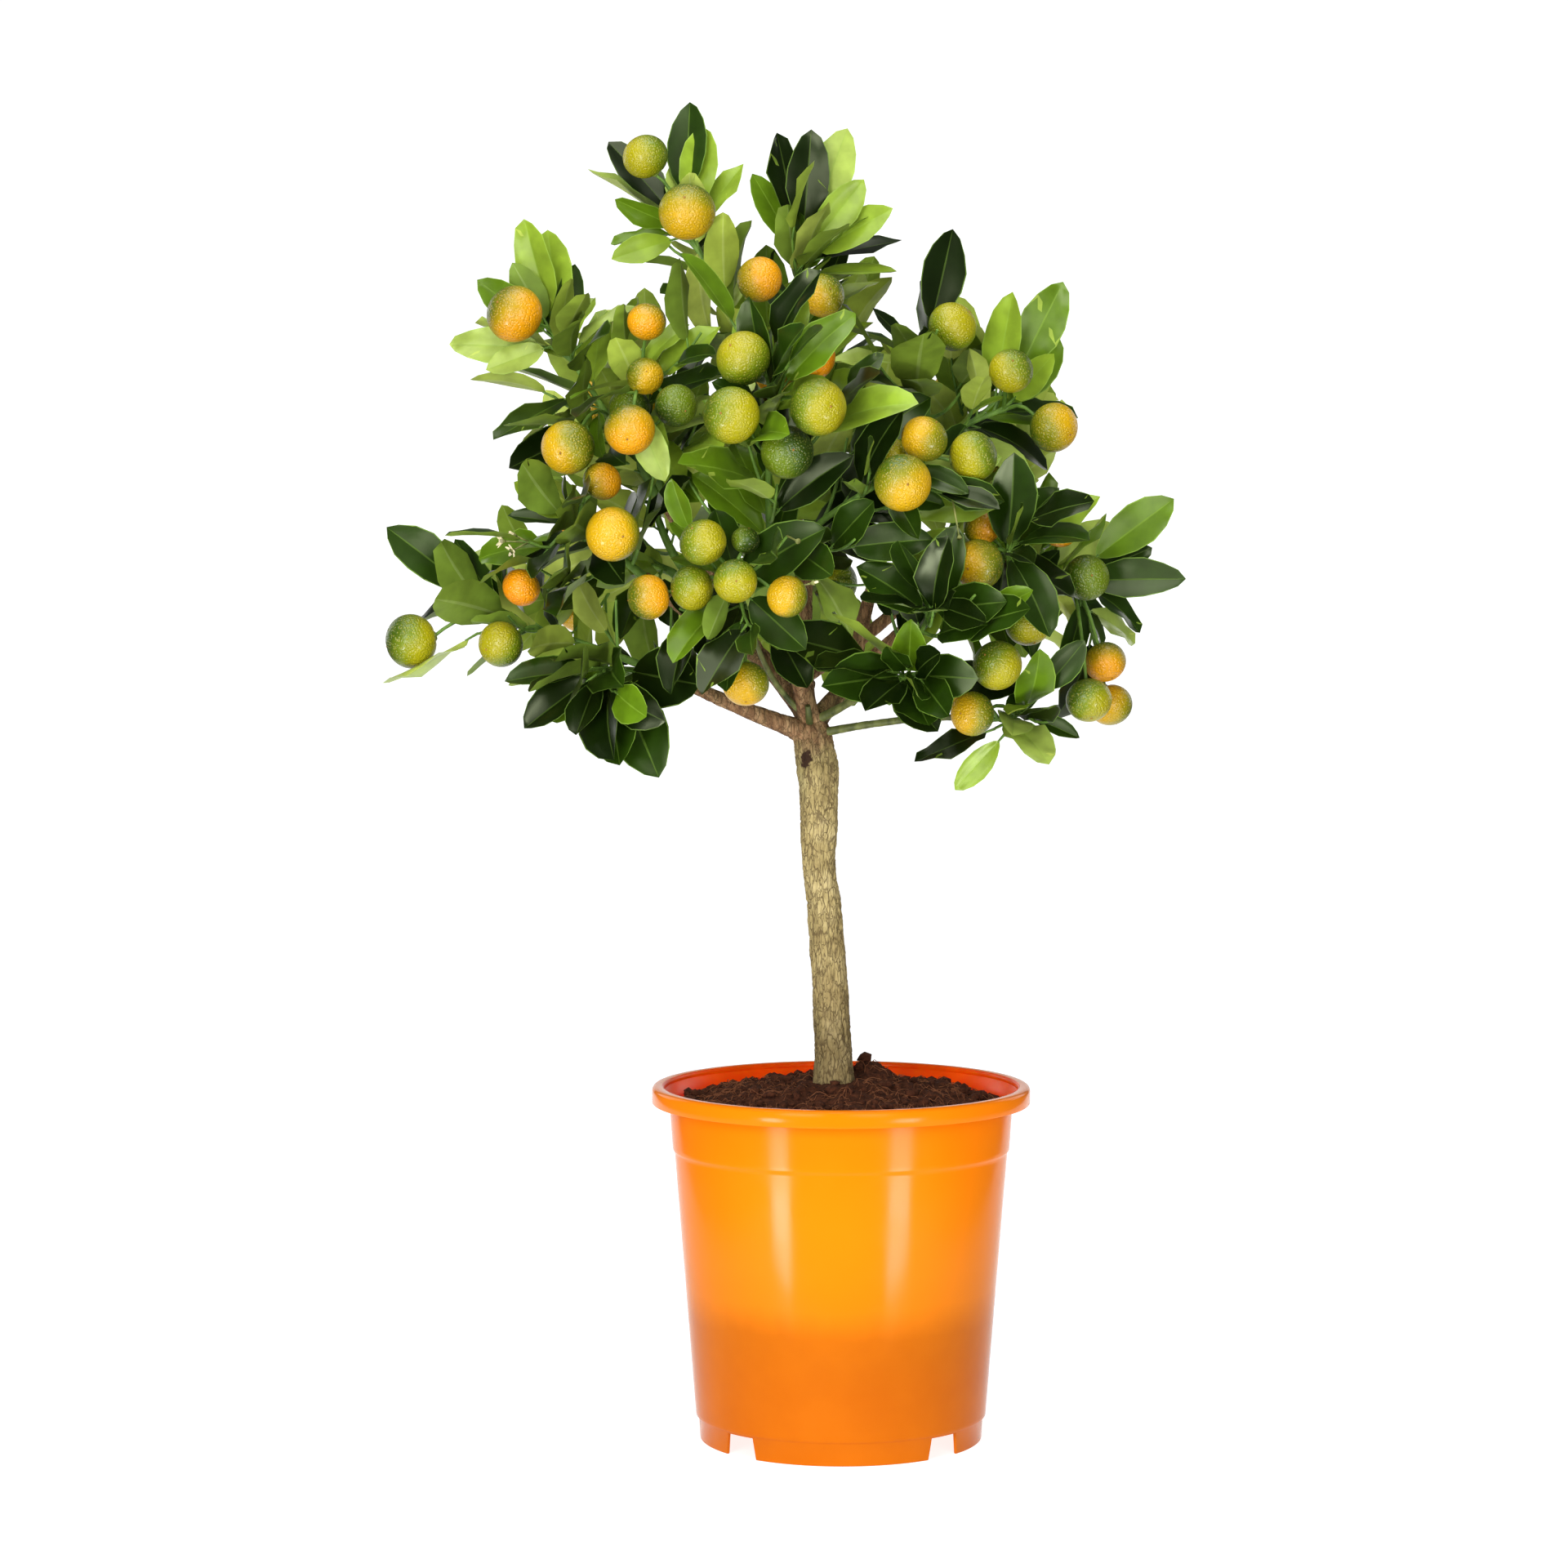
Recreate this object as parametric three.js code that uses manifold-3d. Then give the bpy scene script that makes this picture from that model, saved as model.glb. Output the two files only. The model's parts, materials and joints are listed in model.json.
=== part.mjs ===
// Calamondin orange tree, a small standard with a round crown, in its glossy nursery pot.
//
// Millimetres, +Z up. Every place below is measured from the middle of the pot's foot, and
// the whole plant is then moved sideways so that its own middle stands over the origin.
//
//   pot      one lathed wall with a rolled rim, a raised floor and four notches in its foot
//   soil     the root ball, a hair clear of the pot, with a flat seat for the trunk
//   trunk    one bent, tapering stem with a slight flare at its foot
//   boughs   tapering limbs, each cut clear of the limb it leaves
//   foliage  one solid for each mass: a leader, its side shoots, its leaves and its fruit

import * as THREE from "three";
import * as BufferGeometryUtils from "three/addons/utils/BufferGeometryUtils.js";
import Module from "manifold-3d";

const wasm = await Module();
wasm.setup();

// ---------------------------------------------------------------- driving dimensions

const PLANT_SHIFT = [31.5, -11, 0]; // from the pot's middle to the middle of the whole plant
const CLEARANCE = 0.3; // between pieces that touch on the real plant

const POT = {
  height: 197.5,
  rimRadius: 105,
  rimDepth: 9.5,
  neckRadius: 95.3,
  ledgeRadius: 93.6,
  ledgeHeight: 162,
  ledgeStep: 1,
  bodyFootRadius: 80.8,
  footTopRadius: 79.2,
  footRadius: 78.5,
  footHeight: 13,
  wall: 1.9,
  floor: 2,
  sides: 32,
};
const RIM = { lipDrop: 1.4, outerEdge: 0.4, outerLip: 3.4, innerLip: 5.4, hollowReach: 3.5, hollowDrop: 4 };
const STEP = { drop: 0.3, rise: 0.4, ledge: 0.5, throat: 2 }; // small heights that ease the pot's corners
const NOTCH = { count: 4, firstAngle: 45, width: 19, flare: 4, height: 12, depth: 24, outside: 4 };
const DRAIN = { count: 4, radius: 5, ring: 48, sides: 6 };

const SOIL = {
  edgeDrop: 12.5, // from the rim's top down to the soil at the wall
  seatHeight: 197, // flat top that the trunk stands on
  seatRadius: 22,
  shoulderRadius: 58,
  shoulderDrop: 4,
  sides: 24,
};
const CLOD = { place: [16, 24, 199], size: [15, 12, 14] };

// The trunk's middle line and its diameter: x, y, z, diameter.
const TRUNK_STATIONS = [
  [-3.5, 0, 190, 24.6],
  [-4.2, 0, 212, 21.2],
  [-6.2, 0, 253, 19.2],
  [-9.6, 0, 295, 18.8],
  [-12.6, 0, 322, 18.9],
  [-12.0, 0, 350, 20.0],
  [-13.0, 0, 372, 23.4],
  [-15.6, 0, 388, 21.4],
  [-17.4, 0, 403, 19.0],
];
const TRUNK_SIDES = 10;
const TRUNK_STEPS = 11;
const GROUND_CUTTER = 80; // side of the block that levels the trunk's foot

// Each bough leaves `from` at a share `at` of that limb's length, and passes through `via`.
const BOUGHS = [
  { name: "left", from: "trunk", at: 0.95, via: [-48, -14, 405], tip: [-84, -26, 421], thick: 10, thin: 7 },
  { name: "centre", from: "trunk", at: 0.98, via: [-25, -18, 430], tip: [-34, -48, 472], thick: 9.2, thin: 7 },
  { name: "slender", from: "trunk", at: 0.99, via: [-37, -20, 423], tip: [-48, -48, 450], thick: 3.2, thin: 2.8 },
  { name: "green", from: "trunk", at: 0.98, via: [4, -18, 411], tip: [25, -54, 426], thick: 4.8, thin: 3.6 },
  { name: "low", from: "trunk", at: 0.95, via: [38, -24, 402], tip: [82, -42, 403], thick: 4.4, thin: 3.4 },
  { name: "right", from: "trunk", at: 0.97, via: [20, 15, 436], tip: [66, 2, 474], thick: 8.8, thin: 7.2 },
  { name: "back", from: "trunk", at: 0.96, via: [-20, 40, 434], tip: [-18, 74, 478], thick: 9, thin: 7.2 },
  { name: "left_upper", from: "trunk", at: 0.99, via: [-56, 14, 452], tip: [-98, 4, 522], thick: 8.8, thin: 7 },
  { name: "top", from: "centre", at: 0.3, via: [-22, 4, 480], tip: [-32, -2, 556], thick: 7.8, thin: 7 },
  { name: "right_upper", from: "right", at: 0.3, via: [22, 2, 490], tip: [44, -16, 545], thick: 7.4, thin: 6.8 },
  { name: "left_mid", from: "left_upper", at: 0.3, via: [-74, -8, 452], tip: [-108, -28, 480], thick: 7, thin: 6.6 },
  { name: "back_left", from: "back", at: 0.3, via: [-50, 52, 440], tip: [-88, 68, 478], thick: 7.4, thin: 7 },
  { name: "back_right", from: "back", at: 0.4, via: [18, 58, 448], tip: [52, 74, 480], thick: 7.4, thin: 7 },
];
const BOUGH_SIDES = 6;
const BOUGH_STEPS = 4;

// Each mass grows from its bough's tip to its own. `shoots` side shoots of length `reach`
// leave its leader, `sag` turns its leaves down and, below zero, up. Fruit: x, y, z, diameter.
// A mass may also bear fruit by rule, `bears` in number. `aims` are where the last leaves of
// more shoots end, which stand out of the crown's body or close its front.
const MASSES = [
  { name: "far_left", bough: "left", tip: [-194, -22, 461], reach: 32, shoots: 0, sag: 0,
    fruit: [[-235, -30, 445, 30], [-185, -48, 444, 25]],
    aims: [[-247, -34, 508], [-213, -20, 500], [-188, -25, 500], [-248, -44, 420]] },
  { name: "low_left", bough: "left", tip: [-134, -80, 432], reach: 42, shoots: 0, sag: 0.25, fruit: [],
    aims: [[-176, -60, 405], [-165, -85, 404], [-143, -100, 399], [-121, -100, 389], [-103, -104, 378],
      [-88, -92, 391], [-100, -120, 425], [-182, -70, 427]] },
  { name: "left_mid", bough: "left_mid", tip: [-150, -62, 512], reach: 52, shoots: 2, sag: -0.1,
    fruit: [[-173, -60, 475, 21], [-122, -104, 504, 29], [-129, -70, 532, 21]],
    aims: [[-176, -64, 532], [-181, -50, 515]] },
  { name: "left_upper", bough: "left_upper", tip: [-160, -22, 616], reach: 36, shoots: 0, sag: 0,
    fruit: [[-177, -45, 622, 31], [-147, -74, 550, 29]],
    aims: [[-175, -14, 675], [-162, -8, 670], [-145, -10, 651], [-198, -30, 641], [-215, -16, 607],
      [-193, -34, 593], [-189, -50, 557], [-180, -44, 541]] },
  { name: "left_front", bough: "left_upper", tip: [-108, -62, 590], reach: 46, shoots: 2, sag: 0.1,
    fruit: [[-105, -68, 617, 21], [-106, -70, 588, 20], [-115, -50, 571, 23], [-89, -84, 572, 23],
      [-113, -104, 559, 27]] },
  { name: "spire_left", bough: "top", tip: [-90, -16, 676], reach: 34, shoots: 0, sag: -0.45,
    fruit: [[-107, -22, 708, 25], [-84, -40, 677, 31]],
    aims: [[-85, 6, 741], [-76, 0, 727], [-127, 2, 720], [-138, 4, 706], [-55, -4, 707], [-123, -34, 683],
      [-127, -10, 663], [-125, -30, 653]] },
  { name: "spire_right", bough: "top", tip: [-20, -4, 664], reach: 32, shoots: 0, sag: -0.45,
    fruit: [[-45, -35, 641, 25], [-11, -45, 632, 24]],
    aims: [[-16, -8, 724], [-34, 4, 724], [3, 2, 726], [-48, 4, 702], [12, -14, 696], [27, -12, 682],
      [33, 4, 667], [30, -10, 649]] },
  { name: "centre_upper", bough: "centre", tip: [-38, -104, 598], reach: 46, shoots: 2, sag: 0,
    fruit: [[-53, -118, 596, 29], [-59, -136, 566, 30], [-30, -122, 547, 28], [-14, -140, 570, 30],
      [-17, -98, 598, 26], [-36, -80, 588, 22]] },
  { name: "centre_right", bough: "centre", tip: [42, -110, 542], reach: 46, shoots: 3, sag: 0.1,
    fruit: [[42, -112, 554, 25], [25, -95, 546, 19], [30, -136, 531, 30], [68, -104, 545, 27]] },
  { name: "centre_front", bough: "slender", tip: [-60, -120, 482], reach: 50, shoots: 2, sag: 0.35,
    fruit: [[-74, -128, 500, 25], [-52, -116, 501, 15], [-80, -118, 476, 24], [-57, -138, 480, 23],
      [-30, -140, 472, 22], [-103, -112, 471, 24], [-52, -100, 425, 25]] },
  { name: "front_right", bough: "green", tip: [50, -112, 474], reach: 46, shoots: 1, sag: 0, fruit: [],
    aims: [[26, -142, 499], [47, -146, 494], [72, -140, 459]] },
  { name: "front_low", bough: "green", tip: [38, -98, 430], reach: 42, shoots: 1, sag: -0.1, fruit: [],
    aims: [[11, -130, 414], [-15, -122, 437], [40, -128, 421], [-32, -112, 452]] },
  { name: "low_right", bough: "low", tip: [106, -62, 418], reach: 32, shoots: 0, sag: 0.1,
    fruit: [[82, -84, 434, 27], [69, -80, 408, 24], [61, -48, 420, 20]],
    aims: [[112, -60, 386], [129, -50, 394], [61, -52, 365], [38, -60, 383]] },
  { name: "far_right", bough: "right", tip: [134, -18, 474], reach: 28, shoots: 0, sag: -0.1,
    fruit: [[143, -36, 434, 23], [133, -54, 414, 25], [147, -24, 410, 24], [132, -46, 480, 25],
      [118, -40, 506, 20]],
    aims: [[181, -22, 523], [187, -30, 480], [171, -10, 496]] },
  { name: "right_front", bough: "right", tip: [88, -82, 494], reach: 38, shoots: 2, sag: 0.1,
    fruit: [[71, -100, 488, 27], [99, -75, 456, 25], [75, -62, 508, 21], [110, -40, 466, 16]] },
  { name: "right_upper", bough: "right_upper", tip: [98, -24, 574], reach: 30, shoots: 2, sag: -0.1,
    fruit: [[114, -45, 561, 27], [90, -60, 591, 24]],
    aims: [[120, -30, 640], [90, -40, 634]] },
  { name: "right_top", bough: "right_upper", tip: [38, -48, 606], reach: 38, shoots: 1, sag: -0.1,
    fruit: [[59, -50, 615, 27]],
    aims: [[17, -48, 626], [61, -30, 669]] },
  { name: "back_low", bough: "back", tip: [-22, 144, 448], reach: 52, shoots: 4, sag: 0.5, fruit: [], bears: 4 },
  { name: "back_high", bough: "back", tip: [-22, 112, 596], reach: 52, shoots: 5, sag: -0.1, fruit: [], bears: 4 },
  { name: "back_left", bough: "back_left", tip: [-156, 96, 468], reach: 52, shoots: 4, sag: 0.3, fruit: [],
    bears: 5 },
  { name: "back_left_high", bough: "back_left", tip: [-112, 84, 592], reach: 50, shoots: 4, sag: -0.2, fruit: [],
    bears: 4 },
  { name: "back_right", bough: "back_right", tip: [112, 96, 466], reach: 52, shoots: 4, sag: 0.3, fruit: [],
    bears: 5 },
  { name: "back_right_high", bough: "back_right", tip: [76, 78, 590], reach: 50, shoots: 4, sag: -0.2, fruit: [],
    bears: 4 },
];

// The crown's body as the front shows it: x and z on the upright plane through the pot's axis.
const CROWN_OUTLINE = [
  [-190, 395], [-110, 372], [-78, 388], [-68, 412], [28, 404], [40, 378], [68, 362], [148, 384],
  [165, 430], [180, 490], [145, 528], [122, 535], [135, 570], [122, 614], [90, 624], [76, 612],
  [68, 650], [52, 650], [40, 622], [14, 620], [34, 665], [8, 728], [-38, 728], [-40, 672],
  [-52, 650], [-62, 700], [-85, 735], [-120, 728], [-135, 700], [-105, 650], [-120, 630], [-145, 640],
  [-178, 672], [-208, 640], [-206, 590], [-188, 550], [-190, 510], [-235, 505], [-255, 440], [-215, 418],
];
const FRONT_VIEW = { x: -31.7, height: 526, distance: 2405 }; // where that outline is seen from

const GROWTH = {
  seed: 6347,
  seedStep: 101, // between the seeds of one mass and the next
  goldenAngle: 137.508, // between one leaf or shoot and the next
  leafLength: 66,
  leafWidth: 0.5, // of its length
  tries: 9, // turns that a shoot or a leaf may take to find room
  shrink: 0.035, // of its length, lost with each turn
  space: 1.2, // kept by a leaf from the next mass's ground
  groundStep: 10, // between the places that count as a mass's own
};
const SIDE_SHOOT = {
  angle: 58, // from its leader
  first: 0.2, // share of the leader where side shoots begin
  last: 0.9,
  reachAtFoot: 1.15, // of the mass's reach
  reachAtTip: 0.7,
  variety: 0.15, // more or less, of its length
  sway: 30, // degrees, of its turn
  rise: 0.3, // how far it turns up, of its length
  massTurn: 47, // degrees between the first shoots of one mass and the next
  tryTurn: 52, // degrees more with each try
  space: 2.6, // kept from the next mass's ground
  leafy: 0.4, // share of its length where its leaves begin
  turn: 77, // degrees between the first leaves of one shoot and the next
};
const AIMED_SHOOT = {
  pull: 0.4, // how far it keeps its leader's direction, of its length
  lead: 0.5, // how far it starts short of the nearest place, of its distance
  leaf: 0.92, // the stretch left to its last leaf, of the leaf's length
  least: 0.25, // the stretch that it keeps at least, of its length
  leafy: 0.45,
  turn: 40,
};
const LEAF = {
  angle: 55, // from its twig
  tipAngle: 18, // of the last leaf, from its twig
  spacing: 15, // along a twig
  variety: [0.82, 1.1], // of its length
  sway: 30, // degrees, of its turn
  roll: 1.6,
  straighten: 3.5, // degrees nearer its twig with each try
  tryTurn: 0.382, // of a golden turn more with each try
  tipSag: 0.5, // of the mass's sag, for a last leaf
  elbowRoom: 17, // between the middles of two leaves of one mass
  aimedElbow: 0.5, // of that, for a leaf with an aim
  offLimbs: 3,
  offFruit: 1.5,
};
// A leaf's blade: shares of its length and width, and how its faces are folded.
const BLADE = { widest: 0.42, edge: 0.1, droop: 0.12, fold: 0.3, keel: [0.12, 0, -0.06], stitchFree: 3 };
const LIGHT = { outward: 1, up: 0.6, roll: 0.6 }; // what a leaf's upper face turns to
const FRONT_LIGHT = { front: 0.9, up: 0.4 }; // and what an aimed leaf's face turns to
const LEADER = { sides: 4, thick: 2.2, thin: 1.6, leafy: 0.25, turn: 20, pull: 0.35 };
const SHOOT = { sides: 3, thick: 1.15, thin: 0.95, offLimbs: 2.5, offFruit: 2, probeStep: 8, stitch: 6 };
const STALK = { first: 0.08, lead: 0.12, rise: 0.12, sunk: 0.5, leafy: 0.25, bare: 0.62, turn: 55 };
const NEAREST = { from: 0.1, step: 0.05 }; // shares of a leader that are tried for its nearest place
const TWIG_STEP = 45; // length of one straight stretch of a twig
const LIMB_STEP = 4; // between the places along a limb that leaves keep clear of
const ROOT_SUNK = { side: 0.2, end: 2.5 }; // of a leaf, behind its twig's middle line and end
const FORK = { clear: 0.1, spread: 2.6 }; // of each stem, past a bough's tip and off its middle line
const FRUIT = {
  facets: 1,
  swell: 1.05,
  smallest: 23,
  spread: 7,
  nearest: 20, // to its leader
  furthest: 34,
  first: 0.45, // share of the leader where fruit begins
  turn: 2.4,
  sideways: 0.9,
};
const CROWN_HEART = new THREE.Vector3(-20, 0, 470);

const FINISH = {
  pot: { color: 0xf5951e, roughness: 0.28, metalness: 0 },
  soil: { color: 0x3a2416, roughness: 0.95, metalness: 0 },
  bark: { color: 0x9a8a5c, roughness: 0.85, metalness: 0 },
  foliage: { color: 0x3f6f24, roughness: 0.45, metalness: 0 },
};

// ---------------------------------------------------------------- solids and meshes

// The solid of a closed geometry, with its shared corners merged.
function solidOf(geometry) {
  geometry.deleteAttribute("normal");
  geometry.deleteAttribute("uv");
  const merged = BufferGeometryUtils.mergeVertices(geometry, 1e-4);
  const vertProperties = Float32Array.from(merged.attributes.position.array);
  const triVerts = Uint32Array.from(merged.index.array);
  return new wasm.Manifold(new wasm.Mesh({ numProp: 3, vertProperties, triVerts }));
}

function geometryOf(solid) {
  const { vertProperties, triVerts } = solid.getMesh();
  const geometry = new THREE.BufferGeometry();
  geometry.setAttribute("position", new THREE.BufferAttribute(vertProperties, 3));
  geometry.setIndex(new THREE.BufferAttribute(triVerts, 1));
  geometry.computeVertexNormals();
  return geometry;
}

function fuse(solids) {
  return solids.reduce((whole, next) => whole.add(next));
}

// The largest single body of a solid: loose scraps go, and sealed hollows are filled.
function mainBody(solid) {
  return solid.decompose().reduce((best, next) => (next.volume() > best.volume() ? next : best));
}

function namedMesh(name, solid, finish) {
  const mesh = new THREE.Mesh(geometryOf(solid), new THREE.MeshStandardMaterial(FINISH[finish]));
  mesh.name = name;
  return mesh;
}

// A tapering tube of `sides` sides that follows a curve, closed flat at both ends.
function tube(curve, radiusAt, sides, steps) {
  const { normals, binormals } = curve.computeFrenetFrames(steps, false);
  const corners = [];
  const faces = [];
  for (let step = 0; step <= steps; step += 1) {
    const centre = curve.getPointAt(step / steps);
    for (let side = 0; side < sides; side += 1) {
      const angle = (2 * Math.PI * side) / sides;
      const out = normals[step].clone().multiplyScalar(Math.cos(angle));
      out.addScaledVector(binormals[step], Math.sin(angle));
      corners.push(...centre.clone().addScaledVector(out, radiusAt(step / steps)).toArray());
    }
  }
  for (let step = 0; step < steps; step += 1) {
    for (let side = 0; side < sides; side += 1) {
      const low = step * sides;
      const next = (side + 1) % sides;
      faces.push(low + side, low + next, low + sides + side);
      faces.push(low + next, low + sides + next, low + sides + side);
    }
  }
  const top = steps * sides;
  for (let side = 1; side < sides - 1; side += 1) {
    faces.push(0, side + 1, side);
    faces.push(top, top + side, top + side + 1);
  }
  const geometry = new THREE.BufferGeometry();
  geometry.setAttribute("position", new THREE.Float32BufferAttribute(corners, 3));
  geometry.setIndex(faces);
  return solidOf(geometry);
}

// The bow from `start` to `end` that passes through `via` half-way.
function bow(start, via, end) {
  const control = via.clone().multiplyScalar(2).addScaledVector(start, -0.5).addScaledVector(end, -0.5);
  return new THREE.QuadraticBezierCurve3(start, control, end);
}

function mix(from, to, share) {
  return from + (to - from) * share;
}

// ---------------------------------------------------------------- pot

// The pot's wall: up its outside, over the rolled rim and down its inside to the axis.
function potProfile() {
  const p = POT;
  const rimFoot = p.height - p.rimDepth;
  const lip = p.height - RIM.lipDrop;
  const hollow = p.height - RIM.hollowDrop;
  const outline = [
    [0, p.footHeight],
    [p.footTopRadius - p.wall, p.footHeight],
    [p.footRadius - p.wall, 0],
    [p.footRadius, 0],
    [p.footTopRadius, p.footHeight - STEP.drop],
    [p.bodyFootRadius, p.footHeight + STEP.rise],
    [p.ledgeRadius - p.ledgeStep, p.ledgeHeight - STEP.ledge],
    [p.ledgeRadius, p.ledgeHeight + STEP.ledge],
    [p.neckRadius, rimFoot],
    [p.neckRadius + RIM.hollowReach, hollow],
    [p.rimRadius - p.wall, hollow],
    [p.rimRadius - p.wall, rimFoot],
    [p.rimRadius, rimFoot],
    [p.rimRadius - RIM.outerEdge, lip],
    [p.rimRadius - RIM.outerLip, p.height],
    [p.rimRadius - RIM.innerLip, lip],
    [p.neckRadius - p.wall, rimFoot - STEP.throat],
    [p.bodyFootRadius - p.wall, p.footHeight + p.floor],
    [0, p.footHeight + p.floor],
  ];
  return outline.map(([radius, height]) => new THREE.Vector2(radius, height));
}

// One notch cutter: a block with slanting ends that runs out through the foot ring.
function notchCutter(angle) {
  const outline = new THREE.Shape([
    new THREE.Vector2(-NOTCH.width / 2 - NOTCH.flare / 2, -1),
    new THREE.Vector2(NOTCH.width / 2 + NOTCH.flare / 2, -1),
    new THREE.Vector2(NOTCH.width / 2, NOTCH.height),
    new THREE.Vector2(-NOTCH.width / 2, NOTCH.height),
  ]);
  const block = new THREE.ExtrudeGeometry(outline, { depth: NOTCH.depth, bevelEnabled: false });
  block.rotateX(Math.PI / 2);
  block.translate(0, NOTCH.depth - NOTCH.outside - POT.footRadius, 0);
  block.rotateZ(angle);
  return solidOf(block);
}

function makePot() {
  const wall = new THREE.LatheGeometry(potProfile(), POT.sides);
  wall.rotateX(Math.PI / 2);
  let pot = solidOf(wall);
  for (let i = 0; i < NOTCH.count; i += 1) {
    const turn = NOTCH.firstAngle + (i * 360) / NOTCH.count;
    pot = pot.subtract(notchCutter(THREE.MathUtils.degToRad(turn)));
  }
  for (let i = 0; i < DRAIN.count; i += 1) {
    const angle = (2 * Math.PI * (i + 0.5)) / DRAIN.count;
    const hole = new THREE.CylinderGeometry(DRAIN.radius, DRAIN.radius, POT.footHeight, DRAIN.sides);
    hole.rotateX(Math.PI / 2);
    hole.translate(DRAIN.ring * Math.cos(angle), DRAIN.ring * Math.sin(angle), POT.footHeight);
    pot = pot.subtract(solidOf(hole));
  }
  return pot;
}

// ---------------------------------------------------------------- soil

function makeSoil() {
  const bottom = POT.footHeight + POT.floor + CLEARANCE;
  const bottomRadius = POT.bodyFootRadius - POT.wall;
  const neck = POT.neckRadius - POT.wall;
  const edge = POT.height - SOIL.edgeDrop;
  const slope = (neck - bottomRadius) / (POT.height - POT.rimDepth - STEP.throat - bottom);
  // The facets of the pot's inside come nearer its axis than its corners do.
  const inner = (height) => (bottomRadius + slope * (height - bottom)) * Math.cos(Math.PI / POT.sides);
  const profile = [
    [0, bottom],
    [inner(bottom) - CLEARANCE, bottom],
    [inner(edge) - CLEARANCE, edge],
    [SOIL.shoulderRadius, SOIL.seatHeight - SOIL.shoulderDrop],
    [SOIL.seatRadius, SOIL.seatHeight],
    [0, SOIL.seatHeight],
  ].map(([radius, height]) => new THREE.Vector2(radius, height));
  const ball = new THREE.LatheGeometry(profile, SOIL.sides);
  ball.rotateX(Math.PI / 2);
  const clod = new THREE.IcosahedronGeometry(1, 0);
  clod.scale(...CLOD.size);
  clod.translate(...CLOD.place);
  return solidOf(ball).add(solidOf(clod));
}

// ---------------------------------------------------------------- trunk and boughs

function trunkCurve() {
  return new THREE.CatmullRomCurve3(TRUNK_STATIONS.map(([x, y, z]) => new THREE.Vector3(x, y, z)));
}

function trunkRadius(share) {
  const last = TRUNK_STATIONS.length - 1;
  const height = mix(TRUNK_STATIONS[0][2], TRUNK_STATIONS[last][2], share);
  const above = TRUNK_STATIONS.findIndex((station) => station[2] >= height - 1e-6);
  const i = Math.max(1, above);
  const [low, high] = [TRUNK_STATIONS[i - 1], TRUNK_STATIONS[i]];
  return mix(low[3], high[3], (height - low[2]) / (high[2] - low[2])) / 2;
}

// The trunk, or the trunk grown all round by `extra`, cut flat just clear of the soil.
function trunkSolid(curve, extra) {
  const ground = new THREE.BoxGeometry(GROUND_CUTTER, GROUND_CUTTER, GROUND_CUTTER);
  ground.translate(0, 0, SOIL.seatHeight + CLEARANCE - GROUND_CUTTER / 2);
  const stem = tube(curve, (share) => trunkRadius(share) + extra, TRUNK_SIDES, TRUNK_STEPS);
  return stem.subtract(solidOf(ground));
}

// A limb is a curve with a radius, and `solid(extra)` is its solid grown by `extra`.
function makeLimbs() {
  const trunkLine = trunkCurve();
  const trunk = { name: "trunk", curve: trunkLine, radius: trunkRadius };
  trunk.solid = (extra) => trunkSolid(trunkLine, extra);
  const limbs = new Map([["trunk", trunk]]);
  for (const bough of BOUGHS) {
    const start = limbs.get(bough.from).curve.getPointAt(bough.at);
    const curve = bow(start, new THREE.Vector3(...bough.via), new THREE.Vector3(...bough.tip));
    const radius = (share) => mix(bough.thick, bough.thin, share) / 2;
    const solid = (extra) => tube(curve, (share) => radius(share) + extra, BOUGH_SIDES, BOUGH_STEPS);
    limbs.set(bough.name, { name: bough.name, curve, radius, solid });
  }
  return limbs;
}

// Each limb is cut clear of every limb made before it.
function cutLimbs(limbs) {
  const kept = [];
  const pieces = new Map();
  for (const limb of limbs.values()) {
    const cut = kept.reduce((solid, earlier) => solid.subtract(earlier.solid(CLEARANCE)), limb.solid(0));
    pieces.set(limb.name, mainBody(cut));
    kept.push(limb);
  }
  return pieces;
}

// ---------------------------------------------------------------- growth

// A small generator that gives the same numbers on every machine.
function makeDice(seed) {
  let state = seed >>> 0;
  return () => {
    state = (Math.imul(state, 1664525) + 1013904223) >>> 0;
    return state / 4294967296;
  };
}

// The unit vector square to `axis` at `angle` round it, counted from the level.
function around(axis, angle) {
  const reference = Math.abs(axis.z) > 0.95 ? new THREE.Vector3(1, 0, 0) : new THREE.Vector3(0, 0, 1);
  const level = new THREE.Vector3().crossVectors(axis, reference).normalize();
  const square = new THREE.Vector3().crossVectors(level, axis);
  return level.multiplyScalar(Math.cos(angle)).addScaledVector(square, Math.sin(angle));
}

function leaning(axis, angleDegrees, turnDegrees) {
  const angle = THREE.MathUtils.degToRad(angleDegrees);
  const side = around(axis, THREE.MathUtils.degToRad(turnDegrees));
  return side.multiplyScalar(Math.sin(angle)).addScaledVector(axis, Math.cos(angle)).normalize();
}

// Which way round its bough's tip each stem leaves, so that no two of them meet.
function forkTurns(along, headings) {
  const level = around(along, 0);
  const square = around(along, Math.PI / 2);
  const wanted = headings.map((heading) => Math.atan2(heading.dot(square), heading.dot(level)));
  const order = wanted.map((turn, i) => i).sort((a, b) => wanted[a] - wanted[b]);
  const step = (2 * Math.PI) / headings.length;
  const drift = order.map((i, slot) => wanted[i] - slot * step);
  const sines = drift.reduce((sum, turn) => sum + Math.sin(turn), 0);
  const cosines = drift.reduce((sum, turn) => sum + Math.cos(turn), 0);
  const turns = [];
  order.forEach((i, slot) => {
    turns[i] = Math.atan2(sines, cosines) + slot * step;
  });
  return turns;
}

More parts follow.
